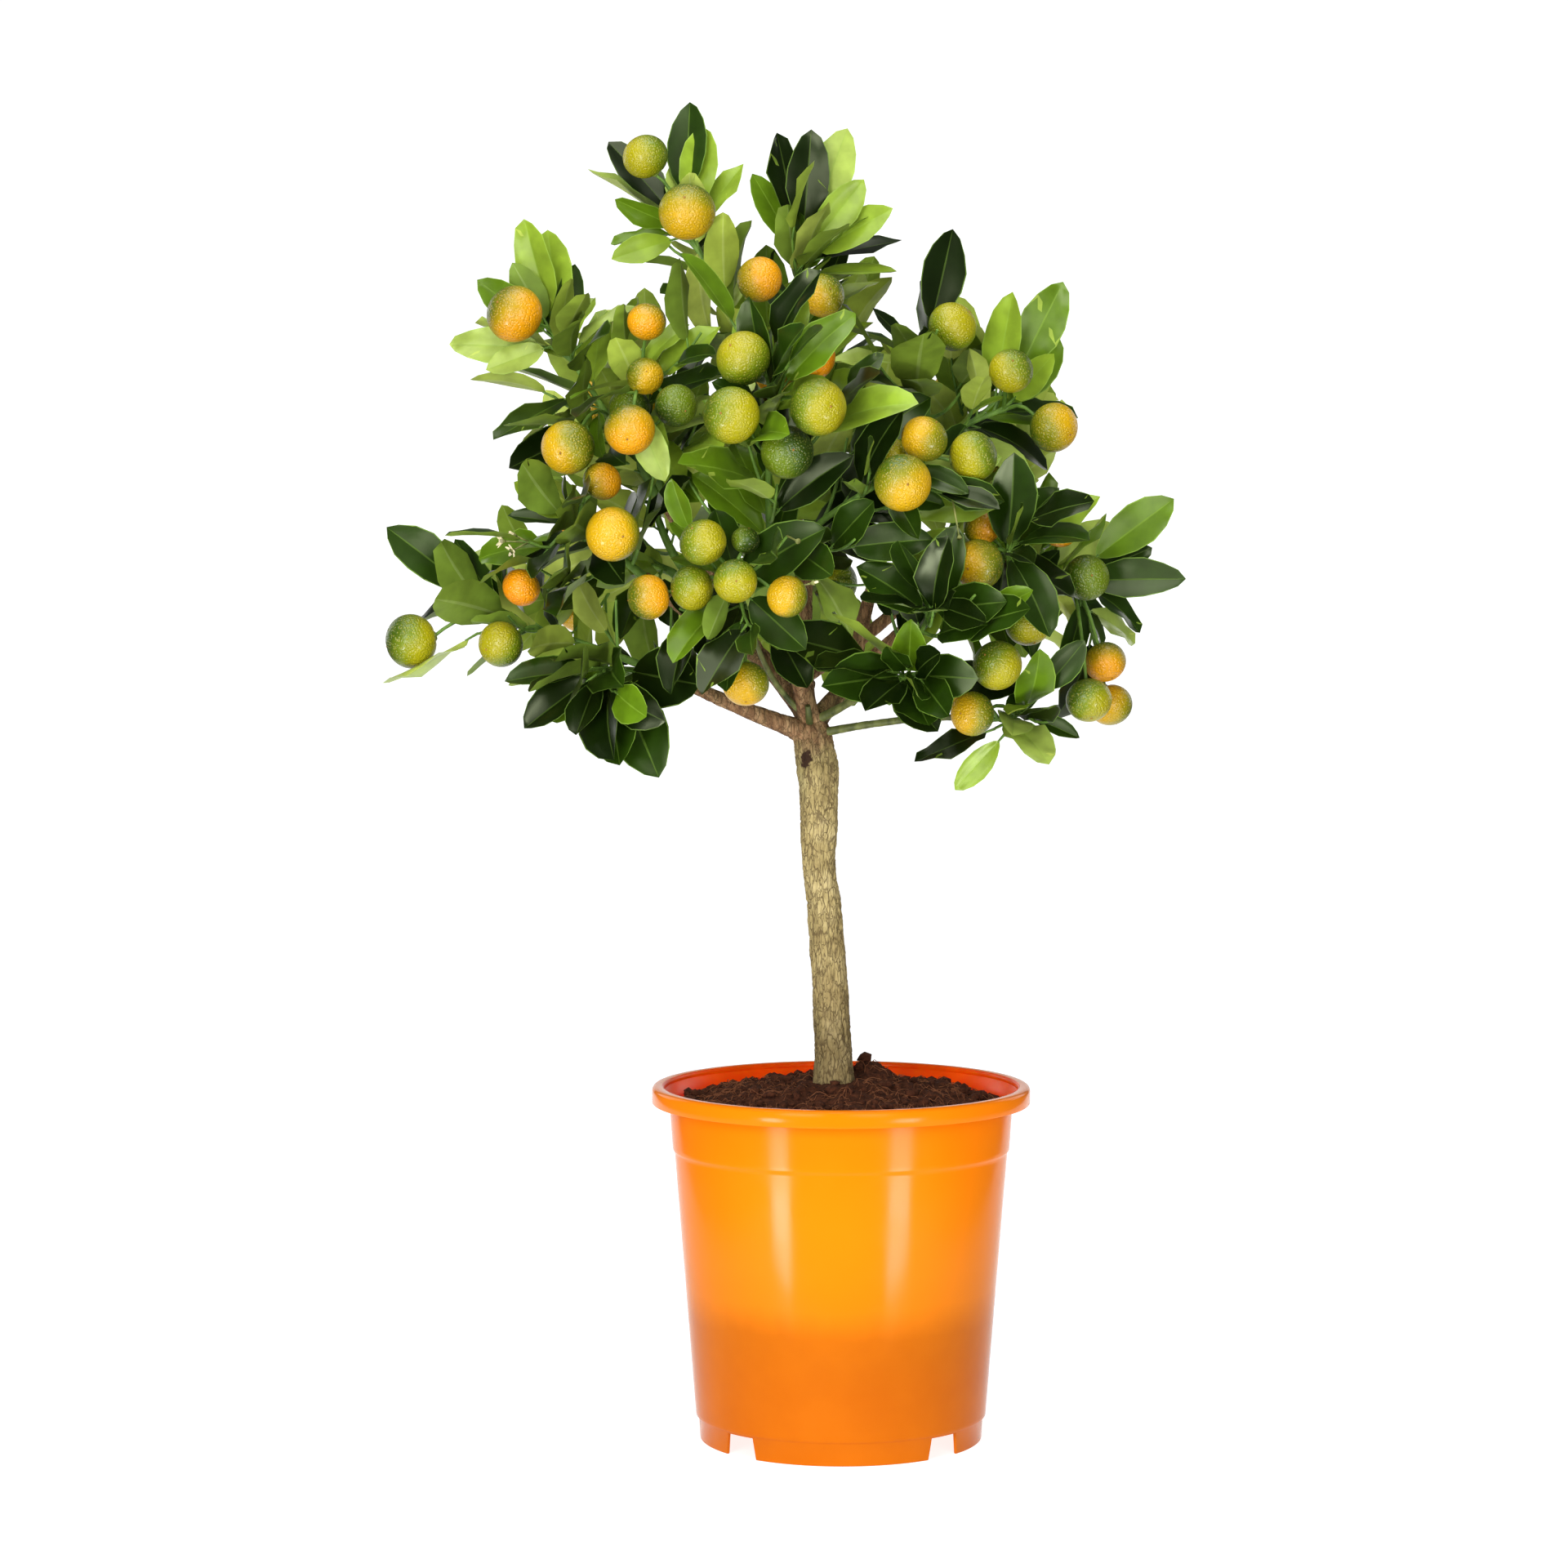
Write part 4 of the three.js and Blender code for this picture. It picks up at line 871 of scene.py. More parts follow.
MASSES = (
    Mass("far_left", "left", (-194, -22, 461), 32, 0.0, Palette.MIXED,
         (Fruit((-235, -30, 445), 30, 0.35), Fruit((-185, -48, 444), 25, 0.5)), fill=0.25,
         aims=((-247, -34, 508), (-213, -20, 500), (-188, -25, 500), (-248, -44, 420))),
    Mass("low_left", "left", (-134, -80, 432), 42, 0.25, Palette.DEEP, size=1.25, broad=1.35,
         aims=((-172, -74, 401), (-143, -100, 399), (-120, -104, 383), (-99, -98, 376), (-182, -70, 427),
               (-78, -110, 425))),
    Mass("left_mid", "left_mid", (-150, -62, 512), 52, -0.1, Palette.DEEP,
         (Fruit((-173, -60, 475), 21, 1.0), Fruit((-122, -104, 504), 29, 0.55),
          Fruit((-129, -70, 532), 21, 0.7)), fill=1.4, broad=1.2,
         aims=((-176, -64, 532), (-181, -50, 515), (-173, -50, 491))),
    Mass("left_upper", "left_upper", (-160, -22, 616), 36, 0.0, Palette.SUNNY,
         (Fruit((-177, -45, 622), 31, 0.76), Fruit((-147, -74, 550), 29, 0.55)), fill=0.4,
         aims=((-175, -14, 675), (-162, -8, 670), (-145, -10, 651), (-198, -30, 641), (-215, -16, 607),
               (-193, -34, 593), (-189, -50, 557), (-139, -62, 634), (-180, -44, 541))),
    Mass("left_front", "left_upper", (-108, -62, 590), 46, 0.1, Palette.MIXED,
         (Fruit((-105, -68, 617), 21, 0.9), Fruit((-106, -70, 588), 20, 0.6),
          Fruit((-115, -50, 571), 23, 0.2), Fruit((-89, -84, 572), 23, 0.12),
          Fruit((-113, -104, 559), 27, 0.88)),
         aims=((-124, -90, 597), (-78, -100, 597))),
    Mass("spire_left", "top", (-90, -16, 676), 34, -0.45, Palette.SUNNY,
         (Fruit((-107, -22, 708), 25, 0.5), Fruit((-84, -40, 677), 31, 0.64)), fill=0.3,
         aims=((-85, 6, 741), (-76, 0, 727), (-127, 2, 720), (-138, 4, 706), (-55, -4, 707),
               (-123, -34, 683), (-127, -10, 663), (-125, -30, 653), (-99, -36, 635))),
    Mass("spire_right", "top", (-20, -4, 664), 32, -0.45, Palette.SUNNY,
         (Fruit((-45, -35, 641), 25, 0.85), Fruit((-11, -45, 632), 24, 0.55)), fill=0.35,
         aims=((-16, -8, 724), (-34, 4, 724), (3, 2, 726), (-48, 4, 702), (12, -14, 696), (27, -12, 682),
               (33, 4, 667), (30, -10, 649), (-24, -28, 677))),
    Mass("centre_upper", "centre", (-38, -104, 598), 46, 0.0, Palette.MIXED,
         (Fruit((-53, -118, 596), 29, 0.42), Fruit((-59, -136, 566), 30, 0.35),
          Fruit((-30, -122, 547), 28, 0.25), Fruit((-14, -140, 570), 30, 0.45),
          Fruit((-17, -98, 598), 26, 0.95, 0.0), Fruit((-36, -80, 588), 22, 0.9, 0.0)),
         aims=((-21, -112, 629), (11, -120, 608), (-68, -130, 622))),
    Mass("centre_right", "centre", (42, -110, 542), 46, 0.1, Palette.SHADED,
         (Fruit((42, -112, 554), 25, 0.6), Fruit((25, -95, 546), 19, 0.4),
          Fruit((30, -136, 531), 30, 0.6), Fruit((68, -104, 545), 27, 0.42)),
         aims=((84, -110, 520), (38, -132, 503), (58, -110, 587))),
    Mass("centre_front", "slender", (-60, -120, 482), 50, 0.35, Palette.SHADED,
         (Fruit((-74, -128, 500), 25, 0.3), Fruit((-52, -116, 501), 15, 0.1),
          Fruit((-80, -118, 476), 24, 0.35), Fruit((-57, -138, 480), 23, 0.3),
          Fruit((-30, -140, 472), 22, 0.62), Fruit((-103, -112, 471), 24, 0.75),
          Fruit((-52, -100, 425), 25, 0.55)), fill=1.3, broad=1.1,
         aims=((-21, -132, 445), (-73, -130, 449), (-93, -118, 449), (-81, -150, 516))),
    Mass("front_right", "green", (50, -112, 474), 46, 0.0, Palette.DEEP, fill=1.2, broad=1.1,
         aims=((26, -142, 499), (47, -146, 494), (79, -132, 492), (9, -146, 473), (72, -140, 459))),
    Mass("front_low", "green", (38, -98, 430), 42, -0.1, Palette.DEEP, fill=1.2, broad=1.2,
         aims=((11, -130, 414), (-15, -122, 437), (-5, -112, 465), (40, -128, 421), (-32, -112, 452),
               (22, -120, 444))),
    Mass("low_right", "low", (106, -62, 418), 32, 0.1, Palette.MIXED,
         (Fruit((82, -84, 434), 27, 0.35), Fruit((69, -80, 408), 24, 0.58),
          Fruit((61, -48, 420), 20, 0.9, 0.0)), fill=0.6,
         aims=((112, -60, 386), (129, -50, 394), (61, -52, 365), (38, -60, 383), (87, -90, 410))),
    Mass("far_right", "right", (134, -18, 474), 28, -0.1, Palette.MIXED,
         (Fruit((143, -36, 434), 23, 0.72), Fruit((133, -54, 414), 25, 0.45),
          Fruit((147, -24, 410), 24, 0.56), Fruit((132, -46, 480), 25, 0.25),
          Fruit((118, -40, 506), 20, 0.85, 0.0)), fill=0.6,
         aims=((181, -22, 523), (187, -30, 480), (171, -10, 496))),
    Mass("right_front", "right", (88, -82, 494), 38, 0.1, Palette.SHADED,
         (Fruit((71, -100, 488), 27, 0.6), Fruit((99, -75, 456), 25, 0.5),
          Fruit((75, -62, 508), 21, 0.9, 0.0), Fruit((110, -40, 466), 16, 1.0, 0.0)),
         aims=((137, -64, 525), (92, -110, 520))),
    Mass("right_upper", "right_upper", (98, -24, 574), 30, -0.1, Palette.YOUNG,
         (Fruit((114, -45, 561), 27, 0.65), Fruit((90, -60, 591), 24, 0.48)), fill=0.5,
         aims=((120, -30, 640), (113, -48, 600), (90, -40, 634))),
    Mass("right_top", "right_upper", (38, -48, 606), 38, -0.1, Palette.MIXED,
         (Fruit((59, -50, 615), 27, 0.4),),
         aims=((17, -48, 626), (61, -30, 669), (44, -74, 613), (-6, -60, 598))),
    Mass("back_low", "back", (-22, 144, 448), 52, 0.5, Palette.SHADED, bears=4, fill=1.6,
         aims=((-44, 42, 520), (-12, 44, 500), (14, 40, 526), (-30, 58, 436))),
    Mass("back_high", "back", (-22, 112, 596), 52, -0.1, Palette.SUNNY, bears=4, fill=1.6,
         aims=((-22, 44, 618), (-48, 40, 590), (6, 42, 592), (-8, 36, 648), (-60, 48, 640))),
    Mass("back_left", "back_left", (-156, 96, 468), 52, 0.3, Palette.MIXED, bears=5, fill=1.3,
         aims=((-138, 34, 508), (-116, 28, 482), (-156, 38, 462), (-124, 30, 446), (-94, 32, 452))),
    Mass("back_left_high", "back_left", (-112, 84, 592), 50, -0.2, Palette.SUNNY, bears=4, fill=1.3,
         aims=((-136, 30, 604), (-108, 24, 580), (-150, 32, 566), (-118, 22, 544), (-116, 38, 634))),
    Mass("back_right", "back_right", (112, 96, 466), 52, 0.3, Palette.MIXED, bears=5, fill=1.3,
         aims=((104, 34, 504), (82, 30, 476), (122, 36, 458), (96, 32, 440), (60, 32, 446))),
    Mass("back_right_high", "back_right", (76, 78, 590), 50, -0.2, Palette.SUNNY, bears=4, fill=1.3,
         aims=((96, 26, 596), (72, 22, 572), (110, 30, 560), (88, 24, 536), (66, 30, 618))),
)

# The crown's body as the front shows it: x and z on the plane through the pot's axis.
CROWN_OUTLINE = np.array([
    [-190, 395], [-110, 372], [-78, 388], [-68, 412], [28, 404], [40, 378], [68, 362], [148, 384],
    [165, 430], [180, 490], [145, 528], [122, 535], [135, 570], [122, 614], [90, 624], [76, 612],
    [68, 650], [52, 650], [40, 622], [14, 620], [34, 665], [8, 728], [-38, 728], [-40, 672],
    [-52, 650], [-62, 700], [-85, 735], [-120, 728], [-135, 700], [-105, 650], [-120, 630], [-145, 640],
    [-178, 672], [-208, 640], [-206, 590], [-188, 550], [-190, 510], [-235, 505], [-255, 440], [-215, 418],
])


@dataclass(frozen=True)
class View:
    """Where the front is seen from: its x and z, and how far off the pot's axis."""

    middle: tuple[float, float] = (-31.7, 526)
    distance: float = 2405

    def flat(self, places: Array) -> Array:
        """Returns where places are seen on the plane through the pot's axis, as x and z."""
        scale = self.distance / (self.distance + places[:, 1:2])
        return np.array(self.middle) + (places[:, ::2] - np.array(self.middle)) * scale


VIEW = View()


def inside(points: Array, outline: Array) -> bool:
    """Counts how often a level ray from each point crosses a closed outline.

    Args:
        points: the points, as x and z.
        outline: the outline's corners.

    Returns:
        Whether all points are inside.
    """
    start, end = outline, np.roll(outline, -1, axis=0)
    x, z = points[:, :1], points[:, 1:]
    spans = (start[:, 1] > z) != (end[:, 1] > z)
    slope = (end[:, 0] - start[:, 0]) / np.where(end[:, 1] == start[:, 1], 1e-9, end[:, 1] - start[:, 1])
    crossings = spans & (x < start[:, 0] + (z - start[:, 1]) * slope)
    return bool((crossings.sum(1) % 2 == 1).all())


@dataclass(frozen=True)
class Growth:
    """The rule that shoots, fruit and leaves follow, with angles in degrees."""

    seed: int = 6347
    seed_step: int = 101
    heart: Place = (-20, 0, 470)
    tries: int = 9
    shrink: float = 0.03
    overstep: float = 7
    first_share: float = 0.08
    fork_spread: float = 2.6
    fork_clear: float = 0.4
    leader_pull: float = 0.35
    shoot_spacing: float = 15
    shoot_angle: float = 58
    shoot_turn: float = 52
    shoot_rise: float = 0.3
    shoot_clear: tuple[float, float] = (2, 1.5)
    aimed_lead: float = 0.5
    aimed_pull: float = 0.4
    aimed_leaf: float = 0.92
    stalk_lead: float = 0.12
    stalk_bow: float = 0.12
    stalk_sunk: float = 0.85
    leaf_spacing: float = 9.5
    leaf_angle: float = 52
    tip_angle: float = 16
    straighten: float = 3.5
    leaf_turn: float = 0.382
    leaf_length: float = 65
    leaf_width: float = 0.47
    aimed_spacing: float = 1.6
    aimed_width: float = 0.44
    aimed_bend: float = 0.12
    leaf_clear: tuple[float, float] = (1.5, 0.4)
    elbow_room: float = 10
    aimed_room: float = 0.4
    flatness: float = 2.4
    light_rise: float = 0.55
    light_roll: float = 0.5
    front: Place = (0, -0.7, 0.35)
    front_roll: float = 0.4
    front_freedom: float = 0.3

    def light(self, root: Array, axis: Array, roll: float) -> Array:
        """Returns where a leaf turns its upper face: up, and out of the crown by its shortest way."""
        outward = (root - np.array(self.heart)) * np.array([1, self.flatness, 1])
        return unit(outward) + np.array([0, 0, self.light_rise]) + around(axis, roll) * self.light_roll

    def front_light(self, axis: Array, roll: float, attempt: int) -> Array:
        """Returns where a leaf with an aim turns it: to the front, more freely with each attempt."""
        freedom = self.front_roll * (1 + self.front_freedom * attempt)
        return np.array(self.front) + around(axis, roll + math.radians(GOLDEN_ANGLE) * attempt) * freedom


@dataclass
class Limb:
    """A limb's middle line and its radius along it."""

    name: str
    line: Line
    shares: Array
    radii: Array

    def radius(self, share: float | Array) -> Array:
        """Returns the limb's radius at a share of its length."""
        return np.interp(share, self.shares, self.radii)


@dataclass
class Hung:
    """A fruit in its place, with the line of the twig that carries it."""

    centre: Array
    radius: float
    ripeness: float
    shown: float
    stalk: Line


@dataclass
class Spray:
    """A mass as it is planned: its leader, its fruit and the places that are its own."""

    mass: Mass
    index: int
    leader: Line
    fruit: list[Hung]
    shoots: list[Line]
    ground: Array
    dice: Dice


@dataclass
class Twig:
    """A twig with its thickness at each end, and the shares between which it bears leaves."""

    line: Line
    thick: float
    thin: float
    leafy_from: float
    turn: float
    leafy_until: float = 1
    woody: bool = False
    aim: Array | None = None


@dataclass(frozen=True)
class Form:
    """How a leaf is bent, with the number of its tone."""

    tone: int
    bend: float
    fold: float
    wave: float
    phase: float
    belly: float


@dataclass(frozen=True)
class Bud:
    """Where a leaf may grow, and what the dice give it."""

    number: int
    root: Array
    heading: Array
    last: bool
    aim: Array | None
    length: float
    roll: float
    jitter: float
    form: Form


@dataclass(frozen=True)
class Leaf:
    """Where a leaf lies, with its size and form."""

    root: Array
    axis: Array
    side: Array
    normal: Array
    length: float
    width: float
    form: Form

    def place(self, along: float, across: float) -> Array:
        """Returns a place on the flat of the leaf."""
        return (self.root + self.axis * along * self.length + self.side * across * self.width
                + self.normal * (0.3 * abs(across) - 0.2 * along * along) * self.width)


class Plan:
    """The limbs, and what each mass is made of before its leaves."""

    def __init__(self, growth: Growth) -> None:
        """Lays out the limbs and the masses.

        Args:
            growth: the rule.
        """
        self.growth = growth
        self.limbs = self.lay_limbs()
        leaders: dict[str, Line] = {}
        for bough in BOUGHS:
            leaders.update(self.leaders(bough.name, [mass for mass in MASSES if mass.bough == bough.name]))
        self.sprays = [self.spray(index, mass, leaders[mass.name]) for index, mass in enumerate(MASSES)]

    def lay_limbs(self) -> dict[str, Limb]:
        """Returns the trunk and the boughs by name."""
        heights = TRUNK_STATIONS[:, 2]
        shares = (heights - heights[0]) / (heights[-1] - heights[0])
        trunk = Line.through(TRUNK_STATIONS[:, :3])
        limbs = {"trunk": Limb("trunk", trunk, shares, TRUNK_STATIONS[:, 3] / 2)}
        for bough in BOUGHS:
            start = limbs[bough.parent].line.at(bough.at)
            line = Line.bow(start, np.array(bough.via, float), np.array(bough.tip, float))
            radii = np.array([bough.thick, bough.thin]) / 2
            limbs[bough.name] = Limb(bough.name, line, np.array([0.0, 1.0]), radii)
        return limbs

    def fork_turns(self, along: Array, headings: list[Array]) -> list[float]:
        """Spreads the leaders evenly round their bough's tip, so that no two meet.

        Args:
            along: the bough's direction at its tip.
            headings: where each leader wants to go.

        Returns:
            Each leader's turn round the tip.
        """
        level, square = around(along, 0), around(along, math.pi / 2)
        wanted = [math.atan2(heading @ square, heading @ level) for heading in headings]
        order = sorted(range(len(wanted)), key=lambda i: wanted[i])
        step = 2 * math.pi / len(headings)
        drift = [wanted[i] - place * step for place, i in enumerate(order)]
        start = math.atan2(sum(map(math.sin, drift)), sum(map(math.cos, drift)))
        turns = {i: start + place * step for place, i in enumerate(order)}
        return [turns[i] for i in range(len(headings))]

    def leaders(self, bough: str, masses: list[Mass]) -> dict[str, Line]:
        """Draws the leaders that leave one bough's tip.

        Args:
            bough: the bough's name.
            masses: the masses that it carries.

        Returns:
            Each mass's leader by the mass's name.
        """
        line = self.limbs[bough].line
        end, along = line.at(1.0), line.heading(1.0)
        headings = [np.array(mass.tip, float) - end for mass in masses]
        spread = self.growth.fork_spread if len(masses) > 1 else 0
        found = {}
        for mass, heading, turn in zip(masses, headings, self.fork_turns(along, headings)):
            start = end + along * self.growth.fork_clear + around(along, turn) * spread
            control = start + along * np.linalg.norm(heading) * self.growth.leader_pull
            found[mass.name] = Line.pulled(start, control, np.array(mass.tip, float))
        return found

    def spray(self, index: int, mass: Mass, leader: Line) -> Spray:
        """Plans one mass.

        Args:
            index: its number, which seeds its dice.
            mass: the mass.
            leader: its leader.

        Returns:
            The planned mass.
        """
        dice = Dice(self.growth.seed + self.growth.seed_step * index)
        fruit = [self.hung(one, leader) for one in (*mass.fruit, *self.borne(mass, leader, dice))]
        aims = [np.array(aim, float) for aim in mass.aims]
        shoots = [self.aimed(leader, aim) for aim in aims]
        lines = [leader, *shoots, *(one.stalk for one in fruit)]
        ground = [*(line.spaced(10) for line in lines), *(one.centre for one in fruit), *aims]
        return Spray(mass, index, leader, fruit, shoots, np.vstack(ground), dice)

    def hung(self, fruit: Fruit, leader: Line) -> Hung:
        """Hangs a fruit on a twig that leaves the leader short of it and bows up to it.

        Args:
            fruit: the fruit.
            leader: its mass's leader.

        Returns:
            The fruit with its twig.
        """
        growth, centre, radius = self.growth, np.array(fruit.place, float), fruit.diameter / 2
        start = leader.at(max(growth.first_share, leader.nearest(centre)[0] - growth.stalk_lead))
        length = np.linalg.norm(centre - start)
        end = centre + (start - centre) * (growth.stalk_sunk * radius / length)
        middle = (start + end) / 2 + np.array([0, 0, growth.stalk_bow * length])
        return Hung(centre, radius, fruit.ripeness, fruit.shown, Line.bow(start, middle, end))

    def aimed(self, leader: Line, aim: Array) -> Line:
        """Draws a shoot whose last leaf ends at a place that the outline shows.

        Args:
            leader: its mass's leader.
            aim: the place.

        Returns:
            The shoot, which stops short of the place by that leaf.
        """
        growth = self.growth
        nearest, gap = leader.nearest(aim)
        share = max(growth.first_share, nearest - growth.aimed_lead * gap / leader.length)
        start = leader.at(share)
        length = float(np.linalg.norm(aim - start))
        whole = Line.pulled(start, start + leader.heading(share) * growth.aimed_pull * length, aim)
        leafless = max(0.25, 1 - growth.aimed_leaf * growth.leaf_length / whole.length)
        return Line(whole.at(np.linspace(0, leafless, Line.SAMPLES + 1)))

    def borne(self, mass: Mass, leader: Line, dice: Dice) -> list[Fruit]:
        """Bears fruit by rule, along the outer half of the leader and out of the crown.

        Args:
            mass: the mass.
            leader: its leader.
            dice: its dice.

        Returns:
            The fruit.
        """
        found = []
        for i in range(mass.bears):
            share = mix(0.45, 1, (i + 0.5) / mass.bears)
            place = leader.at(share)
            way = unit(place - np.array(self.growth.heart))
            way = unit(way + around(leader.heading(share), i * 2.4) * 0.9)
            place = place + way * dice.between(20, 34)
            ripeness = 0.25 + 0.7 * ((i * 0.618 + 0.3) % 1)
            found.append(Fruit(tuple(place), dice.between(23, 30), ripeness, 0.0))
        return found


class Room:
    """Tells whether places are in a mass's own space, and clear of limbs, fruit and leaves."""

    def __init__(self, plan: Plan) -> None:
        """Gathers what growth has to keep clear of.

        Args:
            plan: the limbs and masses.
        """
        self.growth = plan.growth
        self.grounds = np.vstack([spray.ground for spray in plan.sprays])
        self.owners = np.concatenate([np.full(len(spray.ground), spray.index) for spray in plan.sprays])
        points, radii = [], []
        for limb in plan.limbs.values():
            shares = np.linspace(0, 1, math.ceil(limb.line.length / 4) + 1)
            points.append(limb.line.at(shares))
            radii.append(limb.radius(shares))
        self.limb_points, self.limb_radii = np.vstack(points), np.concatenate(radii)
        hung = [one for spray in plan.sprays for one in spray.fruit]
        self.fruit_centres = np.array([one.centre for one in hung])
        self.fruit_radii = np.array([one.radius for one in hung])
        self.discs = VIEW.flat(self.fruit_centres)
        self.disc_radii = self.fruit_radii * np.array([one.shown for one in hung])
        self.fruit = [self.ball(one) for one in hung]
        self.middles = np.zeros((0, 3))
        self.leaves: list[BVHTree] = []

    def ball(self, hung: Hung) -> BVHTree:
        """Makes a fruit's surface for the test of what crosses it.

        Args:
            hung: the fruit.

        Returns:
            Its surface.
        """
        bm = bmesh.new()
        bmesh.ops.create_icosphere(bm, subdivisions=2, radius=hung.radius,
                                   matrix=Matrix.Translation(hung.centre))
        tree = BVHTree.FromBMesh(bm)
        bm.free()
        return tree

    def near(self, places: Array, middle: Array, reach: float | Array) -> Array:
        """Returns the numbers of the places that are nearer to a middle than a reach."""
        return np.flatnonzero(np.linalg.norm(places - middle, axis=1) < reach)

    def crosses(self, surface: BVHTree, leaf: Leaf) -> bool:
        """Tests a leaf against the leaves and the fruit near it.

        Args:
            surface: the leaf's surface.
            leaf: the leaf.

        Returns:
            Whether it cuts through one.
        """
        middle, reach = leaf.place(0.5, 0), leaf.length / 2
        leaves = self.near(self.middles, middle, reach + self.growth.leaf_length * 0.6)
        fruit = self.near(self.fruit_centres, middle, self.fruit_radii + reach)
        others = [*(self.leaves[i] for i in leaves), *(self.fruit[i] for i in fruit)]
        return any(surface.overlap(other) for other in others)

    def own(self, places: Array, index: int) -> bool:
        """Compares how far places are from a mass and from the others.

        Args:
            places: the places.
            index: the mass's number.

        Returns:
            Whether none is much nearer to another mass than to this one.
        """
        far = np.linalg.norm(places[:, None] - self.grounds[None], axis=2)
        mine = far[:, self.owners == index].min(1)
        others = far[:, self.owners != index].min(1)
        return bool((others + self.growth.overstep >= mine).all())

    def clear(self, places: Array, off_limbs: float, off_fruit: float) -> bool:
        """Measures how far places are from every limb and fruit.

        Args:
            places: the places.
            off_limbs: how far they have to be from the limbs.
            off_fruit: how far they have to be from the fruit.

        Returns:
            Whether all are that far.
        """
        limbs = np.linalg.norm(places[:, None] - self.limb_points[None], axis=2) - self.limb_radii
        fruit = np.linalg.norm(places[:, None] - self.fruit_centres[None], axis=2) - self.fruit_radii
        return not ((limbs < off_limbs).any() or (fruit < off_fruit).any())

    def hides(self, places: Array) -> bool:
        """Returns whether any place is in front of a fruit that shows."""
        off = np.linalg.norm(VIEW.flat(places)[:, None] - self.discs[None], axis=2)
        return bool(((off < self.disc_radii) & (places[:, 1:2] < self.fruit_centres[None, :, 1])).any())

    def take(self, leaf: Leaf, surface: BVHTree) -> None:
        """Notes that a leaf's place is taken."""
        self.middles = np.vstack([self.middles, leaf.place(0.5, 0)])
        self.leaves.append(surface)


# Where a leaf is tested, as shares of its length along and of its width across.
PROBES = ((0.25, 0), (0.5, 0), (0.75, 0), (1, 0), (0.5, 0.5), (0.5, -0.5), (0.5, 0.25), (0.5, -0.25),
          (0.78, 0.3), (0.78, -0.3), (0.25, 0.3), (0.25, -0.3))


